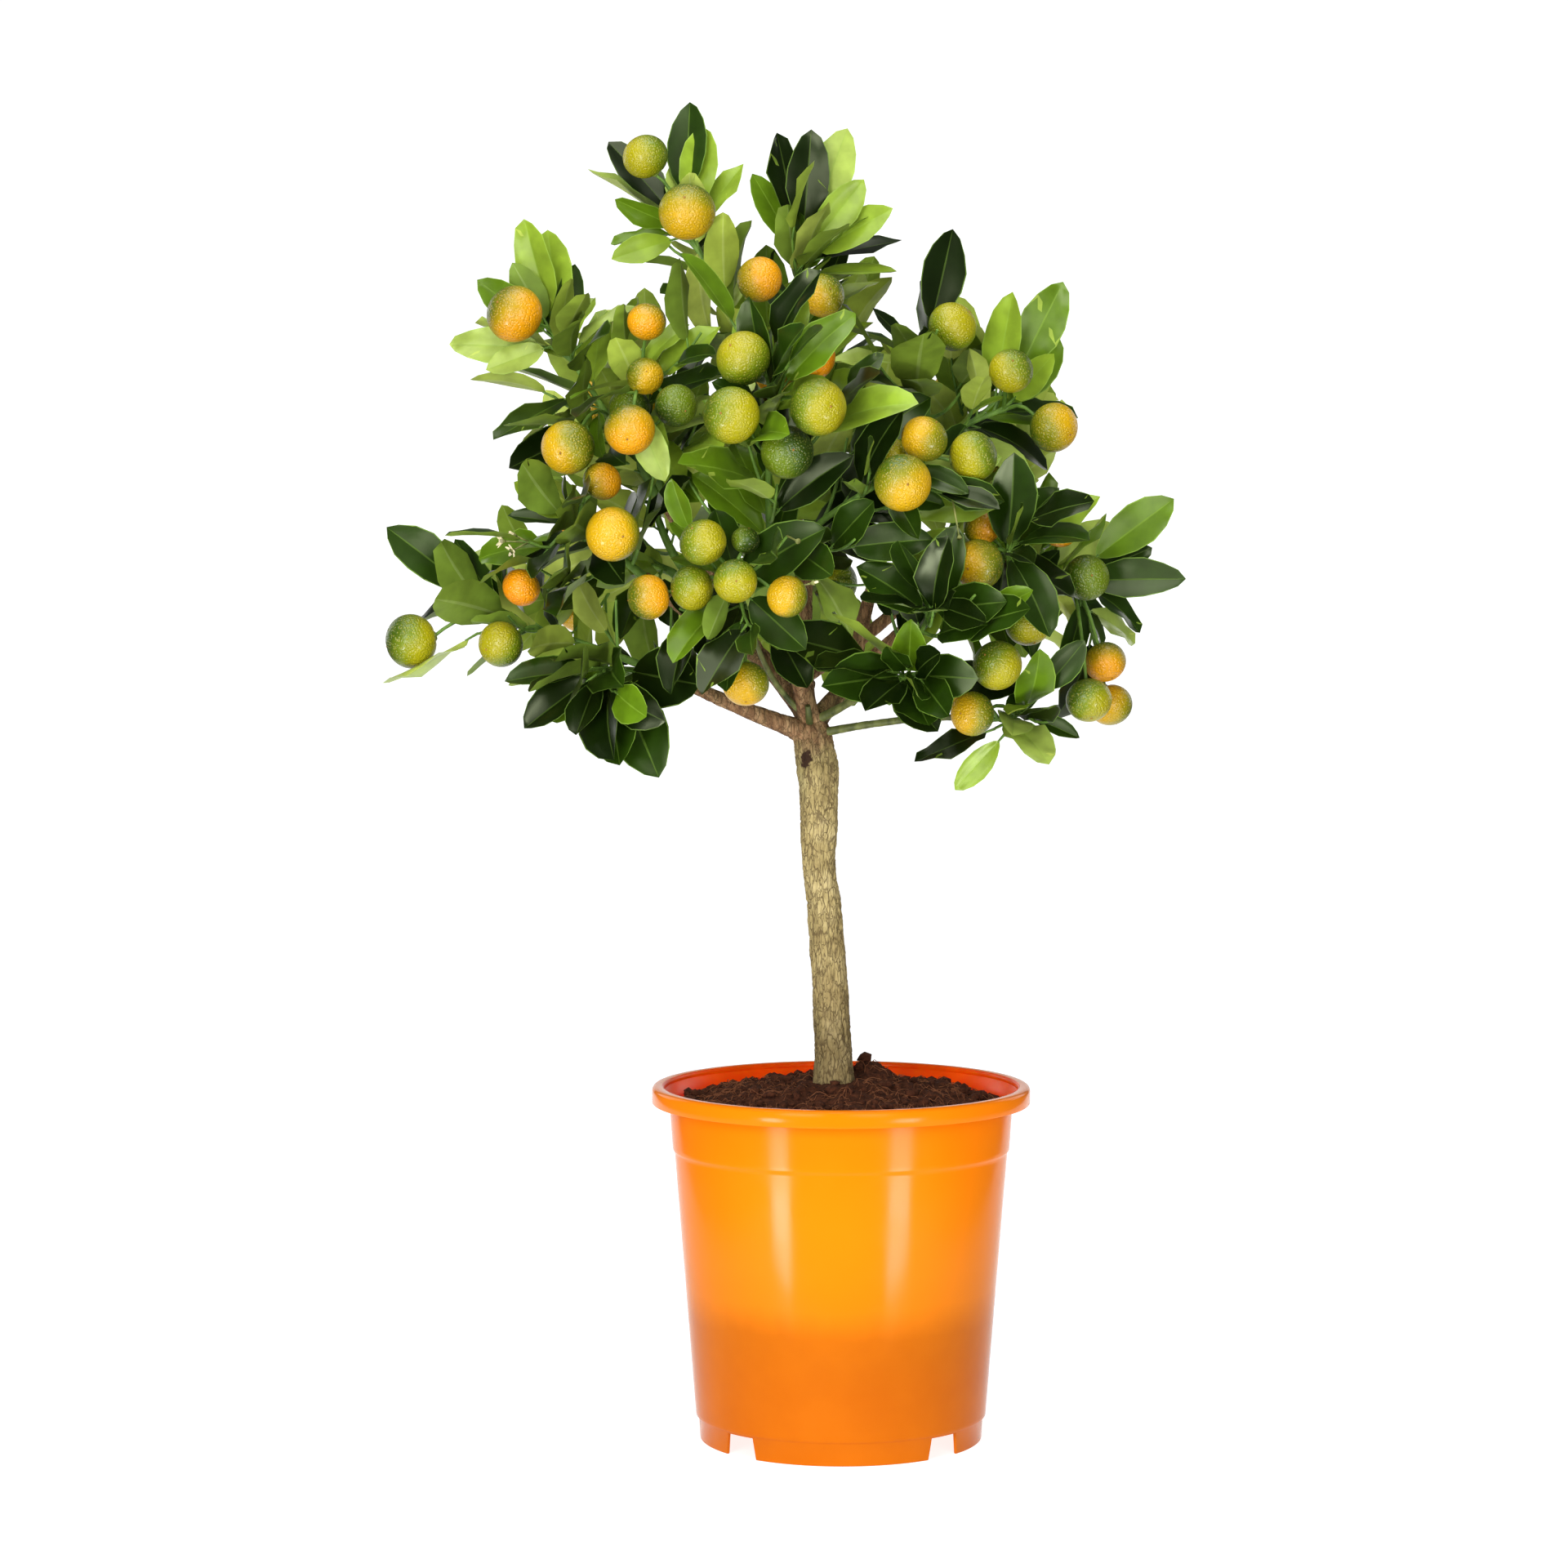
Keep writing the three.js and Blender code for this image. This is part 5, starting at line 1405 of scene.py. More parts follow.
class Grower:
    """Grows the twigs and the leaves of every mass."""

    def __init__(self, plan: Plan) -> None:
        """Readies the rule.

        Args:
            plan: the limbs and masses.
        """
        self.plan = plan
        self.growth = plan.growth
        self.room = Room(plan)
        self.coarse = LeafBlank((-1, 0, 1), (-1, 0, 1), (0, 0.2, 0.5, 0.8, 1), thickness=1.6)
        self.coarse_faces = np.split(self.coarse.loops, np.cumsum(self.coarse.sizes)[:-1])
        self.twigs: dict[str, list[Twig]] = {}
        self.leaves: dict[str, list[Leaf]] = {}

    def grow(self) -> None:
        """Grows every mass's twigs, then the leaves of those with an aim, then the others."""
        for spray in self.plan.sprays:
            self.twigs[spray.mass.name] = self.twigs_of(spray)
            self.leaves[spray.mass.name] = []
        for aimed in (True, False):
            for spray in self.plan.sprays:
                for twig in self.twigs[spray.mass.name]:
                    if (twig.aim is not None) == aimed:
                        self.leaves[spray.mass.name] += self.leaves_on(twig, spray)
        for name, leaves in self.leaves.items():
            LOG.info("%s: %d twigs, %d leaves", name, len(self.twigs[name]), len(leaves))
        LOG.info("%d leaves", sum(map(len, self.leaves.values())))

    def twigs_of(self, spray: Spray) -> list[Twig]:
        """Grows a mass's leader, side shoots and fruit stalks.

        Args:
            spray: the mass.

        Returns:
            Its twigs, those with an aim first.
        """
        mass, leader, growth = spray.mass, spray.leader, self.growth
        foot = float(self.plan.limbs[mass.bough].radii[-1]) * 0.8
        twigs = [Twig(shoot, 1.2, 0.75, 0.25, 40 * i, aim=np.array(aim, float))
                 for i, (shoot, aim) in enumerate(zip(spray.shoots, mass.aims))]
        twigs.append(Twig(leader, min(foot, 2.8), 1.1, 0.15, 20 * spray.index, woody=foot > 2))
        count = round(mass.fill * leader.length / growth.shoot_spacing)
        for i in range(count):
            shoot = self.shoot(spray, mix(growth.first_share, 0.95, (i + 0.5) / count), i)
            if shoot is not None:
                twigs.append(Twig(shoot, 1.15, 0.7, 0.2, 77 * i))
        twigs += [Twig(hung.stalk, 1.25, 0.9, 0.25, 55 * i, 0.75) for i, hung in enumerate(spray.fruit)]
        return twigs

    def shoot(self, spray: Spray, share: float, number: int) -> Line | None:
        """Grows one side shoot.

        Args:
            spray: its mass.
            share: where it leaves the leader.
            number: its number, which turns it.

        Returns:
            Its line, or None where it finds no room.
        """
        mass, growth, dice = spray.mass, self.growth, spray.dice
        start, heading = spray.leader.at(share), spray.leader.heading(share)
        spread = mass.reach * mix(1.15, 0.7, share) * dice.between(0.8, 1.15)
        rise = np.array([0, 0, spread * growth.shoot_rise * (1 - max(0.0, mass.sag))])
        turn = spray.index * 47 + number * GOLDEN_ANGLE + dice.off(30)
        for attempt in range(growth.tries):
            way = leaning(heading, growth.shoot_angle, turn + attempt * growth.shoot_turn)
            end = start + way * spread * (1 - 2 * growth.shrink * attempt)
            line = Line.bow(start, (start + end) / 2, end + rise)
            places = line.spaced(8)[1:]
            if self.room.own(places, spray.index) and self.room.clear(places, *growth.shoot_clear):
                return line
        return None

    def leaves_on(self, twig: Twig, spray: Spray) -> list[Leaf]:
        """Grows the leaves of one twig, from its tip back.

        Args:
            twig: the twig.
            spray: its mass.

        Returns:
            The leaves that find room.
        """
        span = twig.line.length * (twig.leafy_until - twig.leafy_from)
        wider = self.growth.aimed_spacing if twig.aim is not None else 1
        count = max(2, round(span / (self.growth.leaf_spacing * wider)))
        buds = (self.bud(twig, spray, i, count) for i in reversed(range(count)))
        leaves = (self.opened(bud, twig, spray) for bud in buds)
        return [leaf for leaf in leaves if leaf is not None]

    def bud(self, twig: Twig, spray: Spray, number: int, count: int) -> Bud:
        """Casts the dice for one leaf.

        Args:
            twig: its twig.
            spray: its mass.
            number: its number from the twig's foot.
            count: how many leaves the twig bears.

        Returns:
            The bud.
        """
        dice, mass = spray.dice, spray.mass
        last = number == count - 1 and twig.leafy_until == 1
        share = mix(twig.leafy_from, twig.leafy_until, number / (count - 1))
        length = self.growth.leaf_length * mass.size * dice.between(0.62, 1.12) * (0.86 if last else 1)
        roll, jitter, luck = dice.off(1.8), dice.off(50), dice.roll()
        # The palette's bias paints shade and light into the leaves' tones.
        weights = np.cumsum(mass.palette.value)
        tone = int(np.searchsorted(weights, luck * weights[-1]))
        form = Form(tone, dice.between(0.15, 0.75), dice.between(0.12, 0.6), dice.between(0, 0.05),
                    dice.between(0, 6.28), dice.between(0.85, 1.12))
        return Bud(number, twig.line.at(share), twig.line.heading(share), last, twig.aim if last else None,
                   length, roll, jitter, form)

    def opened(self, bud: Bud, twig: Twig, spray: Spray) -> Leaf | None:
        """Opens a bud where its leaf has room, and takes that room.

        Args:
            bud: the bud.
            twig: its twig.
            spray: its mass.

        Returns:
            The leaf, or None where no attempt finds room. One with an aim may cut through another leaf.
        """
        found = None
        for attempt in range(self.growth.tries):
            leaf = self.attempted(bud, twig, spray.mass, attempt)
            if not self.fits(leaf, spray.index, bud.aim is not None):
                continue
            surface = BVHTree.FromPolygons(self.coarse.bend(leaf).tolist(), self.coarse_faces)
            if not self.room.crosses(surface, leaf):
                found = leaf, surface
                break
            if bud.aim is not None:
                found = found or (leaf, surface)
        if found is None:
            return None
        self.room.take(*found)
        return found[0]

    def attempted(self, bud: Bud, twig: Twig, mass: Mass, attempt: int) -> Leaf:
        """Lays out the leaf of a bud: with each attempt it is turned on, straighter and smaller.

        Args:
            bud: the bud.
            twig: its twig.
            mass: its mass.
            attempt: the attempt's number.

        Returns:
            The leaf.
        """
        growth, root = self.growth, bud.root
        if bud.aim is None:
            turn = twig.turn + (bud.number + attempt * growth.leaf_turn) * GOLDEN_ANGLE + bud.jitter
            lean = growth.tip_angle if bud.last else growth.leaf_angle - growth.straighten * attempt
            axis = leaning(bud.heading, lean, turn)
            axis[2] -= mass.sag * (0.5 if bud.last else 1)
            axis, form, length = unit(axis), bud.form, bud.length * (1 - growth.shrink * attempt)
            light, width = growth.light(root, axis, bud.roll), growth.leaf_width
        else:
            length = float(np.linalg.norm(bud.aim - root))
            axis, form = unit(bud.aim - root), replace(bud.form, bend=growth.aimed_bend)
            light, width = growth.front_light(axis, bud.roll, attempt), growth.aimed_width
        normal = unit(light - axis * (light @ axis))
        return Leaf(root, axis, np.cross(normal, axis), normal, length, length * (width * mass.broad), form)

    def fits(self, leaf: Leaf, index: int, aimed: bool) -> bool:
        """Tests whether a leaf has room.

        Args:
            leaf: the leaf.
            index: its mass's number.
            aimed: whether it is one that the outline shows, which may stand out of the crown's body.

        Returns:
            Whether it has room.
        """
        growth, room = self.growth, self.room
        elbow = growth.elbow_room * (growth.aimed_room if aimed else 1)
        if len(room.near(room.middles, leaf.place(0.5, 0), elbow)):
            return False
        places = np.array([leaf.place(along, across) for along, across in PROBES])
        if not room.clear(places, *growth.leaf_clear) or room.hides(places):
            return False
        return aimed or (room.own(places, index) and inside(VIEW.flat(places), CROWN_OUTLINE))


# ---- trunk and boughs


@dataclass
class Woodwork:
    """The trunk and the boughs, skinned with bark that has a real relief."""

    ground: Ground
    plan: Plan
    cut_height: float = 196.5
    slim: float = 6
    collar: float = 0.7
    slim_collar: float = 0.3
    collar_length: float = 13
    foot_flare: float = 0.03
    top_taper: float = 0.45
    stub_foot: Place = (-17.5, -6, 398)
    stub_tip: Place = (-18.6, -12.5, 409)
    stub_radii: tuple[float, float] = (2.1, 1.5)

    def build(self) -> None:
        """Builds every limb and dresses it."""
        bark = BarkFinish().make(self.ground)
        young = TwigFinish("bark_green", (112, 118, 62), (58, 66, 30)).make()
        self.limb(self.plan.limbs["trunk"], 120, 0.75, 0.6, bark, "trunk")
        for bough in BOUGHS:
            slim = bough.thick < self.slim
            self.limb(self.plan.limbs[bough.name], 24 if slim else 40, 1.1, 0.16 if slim else 0.3,
                      young if slim else bark, f"bough_{bough.name}")
        self.stub(young)

    def limb(self, limb: Limb, sides: int, step: float, relief: float, material: Material,
             node: str) -> None:
        """Builds one limb.

        Args:
            limb: its line and radius.
            sides: how many faces go round it.
            step: the length of a face.
            relief: how far its bark stands out and in.
            material: its finish.
            node: the solid that it stands for.
        """
        rings = max(8, round(limb.line.length / step))
        bm = bmesh.new()
        bmesh.ops.create_grid(bm, x_segments=sides, y_segments=rings, size=1)
        frames = self.frames(limb.line, rings)
        for vert in bm.verts:
            ring = round((vert.co.y + 1) / 2 * rings)
            angle = math.pi * (vert.co.x + 1)
            vert.co = self.skin(limb, ring / rings, angle, frames[ring], relief)
        bmesh.ops.remove_doubles(bm, verts=bm.verts, dist=0.01)
        bmesh.ops.holes_fill(bm, edges=[edge for edge in bm.edges if edge.is_boundary], sides=0)
        if node == "trunk":
            for vert in bm.verts:
                vert.co.z = max(vert.co.z, self.cut_height)
        bmesh.ops.recalc_face_normals(bm, faces=bm.faces)
        self.ground.place(bm)
        finished(f"{node}_bark", mesh_of(bm, node), [material], [node])

    def frames(self, line: Line, rings: int) -> list[tuple[Array, Array]]:
        """Carries two directions square to a line along it, turned as little as can be.

        Args:
            line: the line.
            rings: how many steps it has.

        Returns:
            The two directions at each ring.
        """
        found = []
        side = around(line.heading(0), 0.0)
        for ring in range(rings + 1):
            heading = line.heading(ring / rings)
            side = unit(side - heading * (side @ heading))
            found.append((side, np.cross(heading, side)))
        return found

    def skin(self, limb: Limb, share: float, angle: float, frame: tuple[Array, Array],
             relief: float) -> Vector:
        """Finds one corner of a limb's bark, with blotches, grooves and grain drawn out along it.

        Args:
            limb: its line and radius.
            share: the corner's share of the limb's length.
            angle: its angle round the limb.
            frame: the two directions that the angle counts from.
            relief: how far the bark stands out and in.

        Returns:
            The corner's place.
        """
        along = share * limb.line.length
        radius = float(limb.radius(share))
        if limb.name == "trunk":
            lobes = 1 + 0.6 * math.sin(3 * angle + 0.7)
            radius *= 1 + self.foot_flare * math.exp(-max(0.0, along - 6) / 9) * lobes
            radius *= 1 - self.top_taper * max(0.0, (share - 0.955) / 0.045) ** 2
        else:
            collar = self.collar if radius > 3.5 else self.slim_collar
            radius *= 1 + collar * math.exp(-along / self.collar_length)
        x, y, _ = Vector((math.cos(angle) * radius, math.sin(angle) * radius, 0))
        coarse = noise.fractal(Vector((x * 0.16, y * 0.16, along * 0.035 + 3)), 0.9, 2.0, 3)
        crack = noise.noise(Vector((x * 0.27, y * 0.27, along * 0.08 + 11)))
        plates = noise.noise(Vector((x * 0.55, y * 0.55, along * 0.13 + 40)))
        fine = noise.fractal(Vector((x * 1.4, y * 1.4, along * 0.5)), 0.8, 2.0, 3)
        grooves = math.exp(-((crack / 0.07) ** 2)) + 0.7 * math.exp(-((plates / 0.09) ** 2))
        radius += relief * (1.6 * coarse - 1.2 * grooves + 0.4 * fine)
        side, other = frame
        return Vector(limb.line.at(share) + (side * math.cos(angle) + other * math.sin(angle)) * radius)

    def stub(self, material: Material) -> None:
        """Builds the short stub of a cut shoot in the fork.

        Args:
            material: its finish.
        """
        bm = bmesh.new()
        tip = Vector(self.stub_tip)
        rod(bm, Vector(self.stub_foot), tip, self.stub_radii, 14)
        rim = [edge for edge in bm.edges if all((vert.co - tip).length < 2.4 for vert in edge.verts)]
        bmesh.ops.bevel(bm, geom=rim, offset=0.25, segments=2, profile=0.5, affect="EDGES", material=-1)
        self.ground.place(bm)
        finished("cut_stub", mesh_of(bm, "cut_stub"), [material], [])


# ---- pot and soil


@dataclass
class Pot:
    """The nursery pot, turned round its axis, with notches in its foot and holes in its floor."""

    ground: Ground
    height: float = 197.5
    rim_radius: float = 105
    rim_depth: float = 9.5
    rim_roll: float = 2.6
    inner_roll: float = 2.0
    neck_radius: float = 95.3
    ledge_radius: float = 93.6
    ledge_height: float = 162
    body_foot: float = 80.8
    foot_top: float = 79.2
    foot_radius: float = 78.5
    foot_height: float = 13
    wall: float = 1.9
    floor: float = 2
    steps: int = 144
    notches: int = 4
    notch_width: float = 19
    notch_flare: float = 4
    notch_height: float = 12
    notch_depth: float = 24
    drain_radius: float = 5
    drain_ring: float = 48
    sharp: float = 38

    def body(self, share: float) -> tuple[float, float]:
        """Returns a point of the outer wall, at a share of the way from the foot up to the ledge."""
        return (mix(self.body_foot, self.ledge_radius - 1.1, share),
                mix(self.foot_height + 0.6, self.ledge_height - 1.2, share))

    def neck(self, share: float) -> tuple[float, float]:
        """Returns a point of the outer wall, at a share of the way from the ledge up to the rim."""
        return (mix(self.ledge_radius + 0.05, self.neck_radius, share),
                mix(self.ledge_height + 0.8, self.height - self.rim_depth, share))

    def profile(self) -> list[tuple[float, float]]:
        """Returns the wall's outline as radius and height, from the floor's underside round to its top."""
        rim_foot = self.height - self.rim_depth
        inner_rim, inner_foot = self.rim_radius - self.wall, self.foot_radius - self.wall
        inner_neck, inner_body = self.neck_radius - self.wall, self.body_foot - self.wall
        ledge, floor_top = self.ledge_height, self.foot_height + self.floor
        rolls = [(self.rim_radius - self.rim_roll + self.rim_roll * math.cos(angle),
                  self.height - self.rim_roll + self.rim_roll * math.sin(angle))
                 for angle in (math.radians(15 * i) for i in range(0, 7))]
        rolls += [(self.rim_radius - 5.0 - self.inner_roll * math.sin(angle),
                   self.height - self.inner_roll + self.inner_roll * math.cos(angle))
                  for angle in (math.radians(18 * i) for i in range(1, 6))]
        return [
            (0, self.foot_height), (self.foot_top - self.wall, self.foot_height),
            (inner_foot, 0.4), (inner_foot + 0.4, 0), (self.foot_radius - 0.4, 0), (self.foot_radius, 0.4),
            (self.foot_top, self.foot_height - 0.5), (self.foot_top + 0.3, self.foot_height - 0.1),
            (self.body_foot - 0.4, self.foot_height + 0.1), (self.body_foot, self.foot_height + 0.6),
            *map(self.body, (0.012, 0.03, 0.5, 0.975, 0.99)),
            (self.ledge_radius - 1.1, ledge - 1.2), (self.ledge_radius - 0.9, ledge - 0.7),
            (self.ledge_radius - 0.1, ledge + 0.2), (self.ledge_radius + 0.05, ledge + 0.8),
            *map(self.neck, (0.08, 0.2, 0.9, 0.98)),
            (self.neck_radius, rim_foot), (self.neck_radius + 3.4, self.height - 4),
            (inner_rim, self.height - 4.2), (inner_rim, rim_foot + 0.3), (inner_rim + 0.3, rim_foot),
            (self.rim_radius - 0.3, rim_foot), (self.rim_radius, rim_foot + 0.4), *rolls,
            (self.rim_radius - 6.9, self.height - 3), (inner_neck + 1.6, rim_foot + 3),
            (inner_neck + 1.0, rim_foot), (inner_neck, rim_foot - 3), (inner_neck - 0.3, rim_foot - 6),
            (inner_body, floor_top + 1.5), (inner_body - 1.5, floor_top), (0, floor_top),
        ]

    def cutters(self) -> Object:
        """Returns the blocks and pins that cut the notches and the drain holes."""
        bm = bmesh.new()
        for i in range(self.notches):
            block = bmesh.ops.create_cube(bm, size=1)["verts"]
            for vert in block:
                top = vert.co.z > 0
                vert.co.x *= self.notch_width + (0 if top else self.notch_flare)
                vert.co.y = vert.co.y * self.notch_depth - self.foot_radius + 8
                vert.co.z = self.notch_height if top else -1
            turn = Matrix.Rotation(math.radians(45 + 360 / self.notches * i), 4, "Z")
            bmesh.ops.transform(bm, matrix=turn, verts=block)
            angle = 2 * math.pi * (i + 0.5) / self.notches
            centre = (self.drain_ring * math.cos(angle), self.drain_ring * math.sin(angle), self.foot_height)
            bmesh.ops.create_cone(bm, cap_ends=True, segments=24, radius1=self.drain_radius,
                                  radius2=self.drain_radius, depth=self.foot_height,
                                  matrix=Matrix.Translation(centre))
        bmesh.ops.recalc_face_normals(bm, faces=bm.faces)
        return linked("pot_cutter", mesh_of(bm, "pot_cutter", smooth=False))

    def turned(self) -> Object:
        """Returns the wall as it is turned, before it is cut."""
        bm = bmesh.new()
        outline = [bm.verts.new((radius, 0, height)) for radius, height in self.profile()]
        edges = [bm.edges.new(pair) for pair in zip(outline, outline[1:])]
        bmesh.ops.spin(bm, geom=outline + edges, cent=(0, 0, 0), axis=(0, 0, 1), angle=2 * math.pi,
                       steps=self.steps, use_merge=True)
        bmesh.ops.remove_doubles(bm, verts=bm.verts, dist=0.005)
        bmesh.ops.recalc_face_normals(bm, faces=bm.faces)
        return linked("pot_wall", mesh_of(bm, "pot_wall"))

    def build(self) -> None:
        """Builds the pot and dresses it."""
        wall, cutter = self.turned(), self.cutters()
        cut = wall.modifiers.new("cut", "BOOLEAN")
        cut.operation, cut.solver, cut.object = "DIFFERENCE", "EXACT", cutter
        bpy.context.view_layer.update()
        mesh = bpy.data.meshes.new_from_object(wall.evaluated_get(bpy.context.evaluated_depsgraph_get()))
        for old in (wall, cutter):
            bpy.data.objects.remove(old)
        bm = bmesh.new()
        bm.from_mesh(mesh)
        for edge in bm.edges:
            if len(edge.link_faces) == 2 and edge.calc_face_angle(0) > math.radians(self.sharp):
                edge.smooth = False
        for face in bm.faces:
            centre = face.calc_center_median()
            outwards = face.normal.x * centre.x + face.normal.y * centre.y
            inside_wall = outwards < -0.3 * math.hypot(centre.x, centre.y)
            face.material_index = int(inside_wall and centre.z > self.foot_height + self.floor)
        self.ground.place(bm)
        materials = [PotFinish().make(), PotInsideFinish().make()]
        finished("pot_wall", mesh_of(bm, "pot_wall"), materials, ["pot"])


@dataclass
class Soil:
    """The root ball: a low crumbly mound with clods and fine fibres."""

    ground: Ground
    edge_radius: float = 92.2
    edge_height: float = 187.0
    crest: float = 199.5
    foot_radius: float = 78.0
    bottom: float = 16.0
    lumps: float = 4.2
    crumbs: float = 2.0
    knob: float = 10
    knob_place: tuple[float, float] = (16, 24)
    rings: int = 70
    segments: int = 150
    clods: int = 900
    fibres: int = 700
    fibre_steps: int = 6
    fibre_radius: float = 0.19
    seed: int = 51

    def top(self, x: float, y: float) -> float:
        """Shapes the mound: lumps and crumbs, even round the stem and at the edge, and one knob.

        Args:
            x: a place on it.
            y: the same.

        Returns:
            The soil's height there.
        """
        far = min(1.0, math.hypot(x, y) / self.edge_radius)
        base = mix(self.crest, self.edge_height, far**1.7)
        lumps = noise.fractal(Vector((x * 0.045, y * 0.045, 5)), 0.8, 2.0, 4) * self.lumps
        crumbs = noise.fractal(Vector((x * 0.22, y * 0.22, 9)), 0.7, 2.0, 4) * self.crumbs
        knob_x, knob_y = self.knob_place
        knob = self.knob * math.exp(-((x - knob_x) ** 2 + (y - knob_y) ** 2) / 110)
        rim = min(1.0, (1 - far) / 0.12)
        near_stem = min(1.0, max(0.0, (math.hypot(x + 4, y) - 11) / 14))
        return base + (lumps + crumbs) * mix(0.5, 1, rim) * mix(0.35, 1, near_stem) + knob

    def build(self) -> None:
        """Builds the mound, the clods and the fibres, and dresses them."""
        bm = bmesh.new()
        bmesh.ops.create_circle(bm, cap_ends=False, radius=self.edge_radius, segments=self.segments)
        rim = list(bm.edges)
        for ring in range(self.rings, 1, -1):
            made = bmesh.ops.extrude_edge_only(bm, edges=rim)["geom"]
            rim = [part for part in made if isinstance(part, bmesh.types.BMEdge)]
            verts = [part for part in made if isinstance(part, bmesh.types.BMVert)]
            shrink = ((ring - 1) / self.rings) / (ring / self.rings)
            bmesh.ops.scale(bm, vec=(shrink, shrink, 1), verts=verts)
        bmesh.ops.holes_fill(bm, edges=rim, sides=0)
        for vert in bm.verts:
            vert.co.z = self.top(vert.co.x, vert.co.y)
        outer = [edge for edge in bm.edges if edge.is_boundary]
        made = bmesh.ops.extrude_edge_only(bm, edges=outer)["geom"]
        shrink = self.foot_radius / self.edge_radius
        for vert in (part for part in made if isinstance(part, bmesh.types.BMVert)):
            vert.co = (vert.co.x * shrink, vert.co.y * shrink, self.bottom)
        bmesh.ops.holes_fill(bm, edges=[edge for edge in bm.edges if edge.is_boundary], sides=0)
        bmesh.ops.recalc_face_normals(bm, faces=bm.faces)
        self.ground.place(bm)
        peat = SoilFinish("peat", (98, 56, 36), (28, 13, 8)).make()
        finished("soil_mound", mesh_of(bm, "soil_mound"), [peat], ["soil"])
        self.scatter(peat)

    def scatter(self, peat: Material) -> None:
        """Scatters clods and fibres over the mound.

        Args:
            peat: the clods' finish.
        """
        dice = Dice(self.seed)
        heap = Heap()
        for _ in range(self.clods):
            x, y = self.spot(dice)
            size = 0.9 + 3.6 * dice.roll() ** 4
            heap.add(*self.clod(Vector((x, y, self.top(x, y) + size * 0.2)), size, dice))
        finished("soil_clods", heap.mesh("soil_clods", self.ground), [peat], [])
        strands = Strands("soil_fibres", self.ground, 0)
        for _ in range(self.fibres):
            places = self.fibre(*self.spot(dice), dice)
            strands.add(places, [self.fibre_radius] * len(places))
        coir = SoilFinish("coir", (164, 106, 72), (84, 48, 30)).make()
        finished("soil_fibres", strands.mesh(), [coir], [])

    def spot(self, dice: Dice) -> tuple[float, float]:
        """Returns a place on the mound, off the stem."""
        angle, far = dice.between(0, 2 * math.pi), mix(14, self.edge_radius - 4, math.sqrt(dice.roll()))
        return far * math.cos(angle), far * math.sin(angle)

    def clod(self, centre: Vector, size: float, dice: Dice) -> Arrays:
        """Shapes one lump.

        Args:
            centre: its middle.
            size: its radius before it is stretched.
            dice: what it is shaped by.

        Returns:
            Its arrays.
        """
        bm = bmesh.new()
        bmesh.ops.create_icosphere(bm, subdivisions=1, radius=size)
        stretch = Vector((dice.between(0.7, 1.3), dice.between(0.7, 1.3), dice.between(0.5, 0.9)))
        shift = Vector((dice.roll() * 50, 0, 0))
        for vert in bm.verts:
            bulge = 1 + 0.5 * noise.noise(vert.co * 0.9 / size + shift)
            vert.co = Vector(a * b for a, b in zip(vert.co * bulge, stretch)) + centre
        return arrays_of(bm)

    def fibre(self, x: float, y: float, dice: Dice) -> list[Place]:
        """Lays one short bent fibre on the soil.

        Args:
            x: where it starts.
            y: the same.
            dice: what it is bent by.

        Returns:
            The points of its middle line.
        """
        heading, bend, stride = dice.between(0, 6.28), dice.between(-0.5, 0.5), dice.between(0.8, 2.6)
        lift, within = dice.between(0.2, 2.2), self.edge_radius - 2
        places = []
        for i in range(self.fibre_steps + 1):
            level = self.top(x, y) if math.hypot(x, y) < within else self.edge_height
            places.append((x, y, level + 0.2 + lift * math.sin(math.pi * i / self.fibre_steps)))
            ahead = (x + math.cos(heading) * stride, y + math.sin(heading) * stride)
            if math.hypot(*ahead) < within:
                x, y = ahead
            heading += bend
        return places


# ---- leaves, twigs, fruit


class LeafPart(Enum):
    """The parts of a leaf that differ in tone."""

    BLADE = 0
    # The edge strip carries a painted highlight along the leaf's margin.
    EDGE = 1
    RIB = 2
    UNDER = 3
    UNDER_RIB = 4


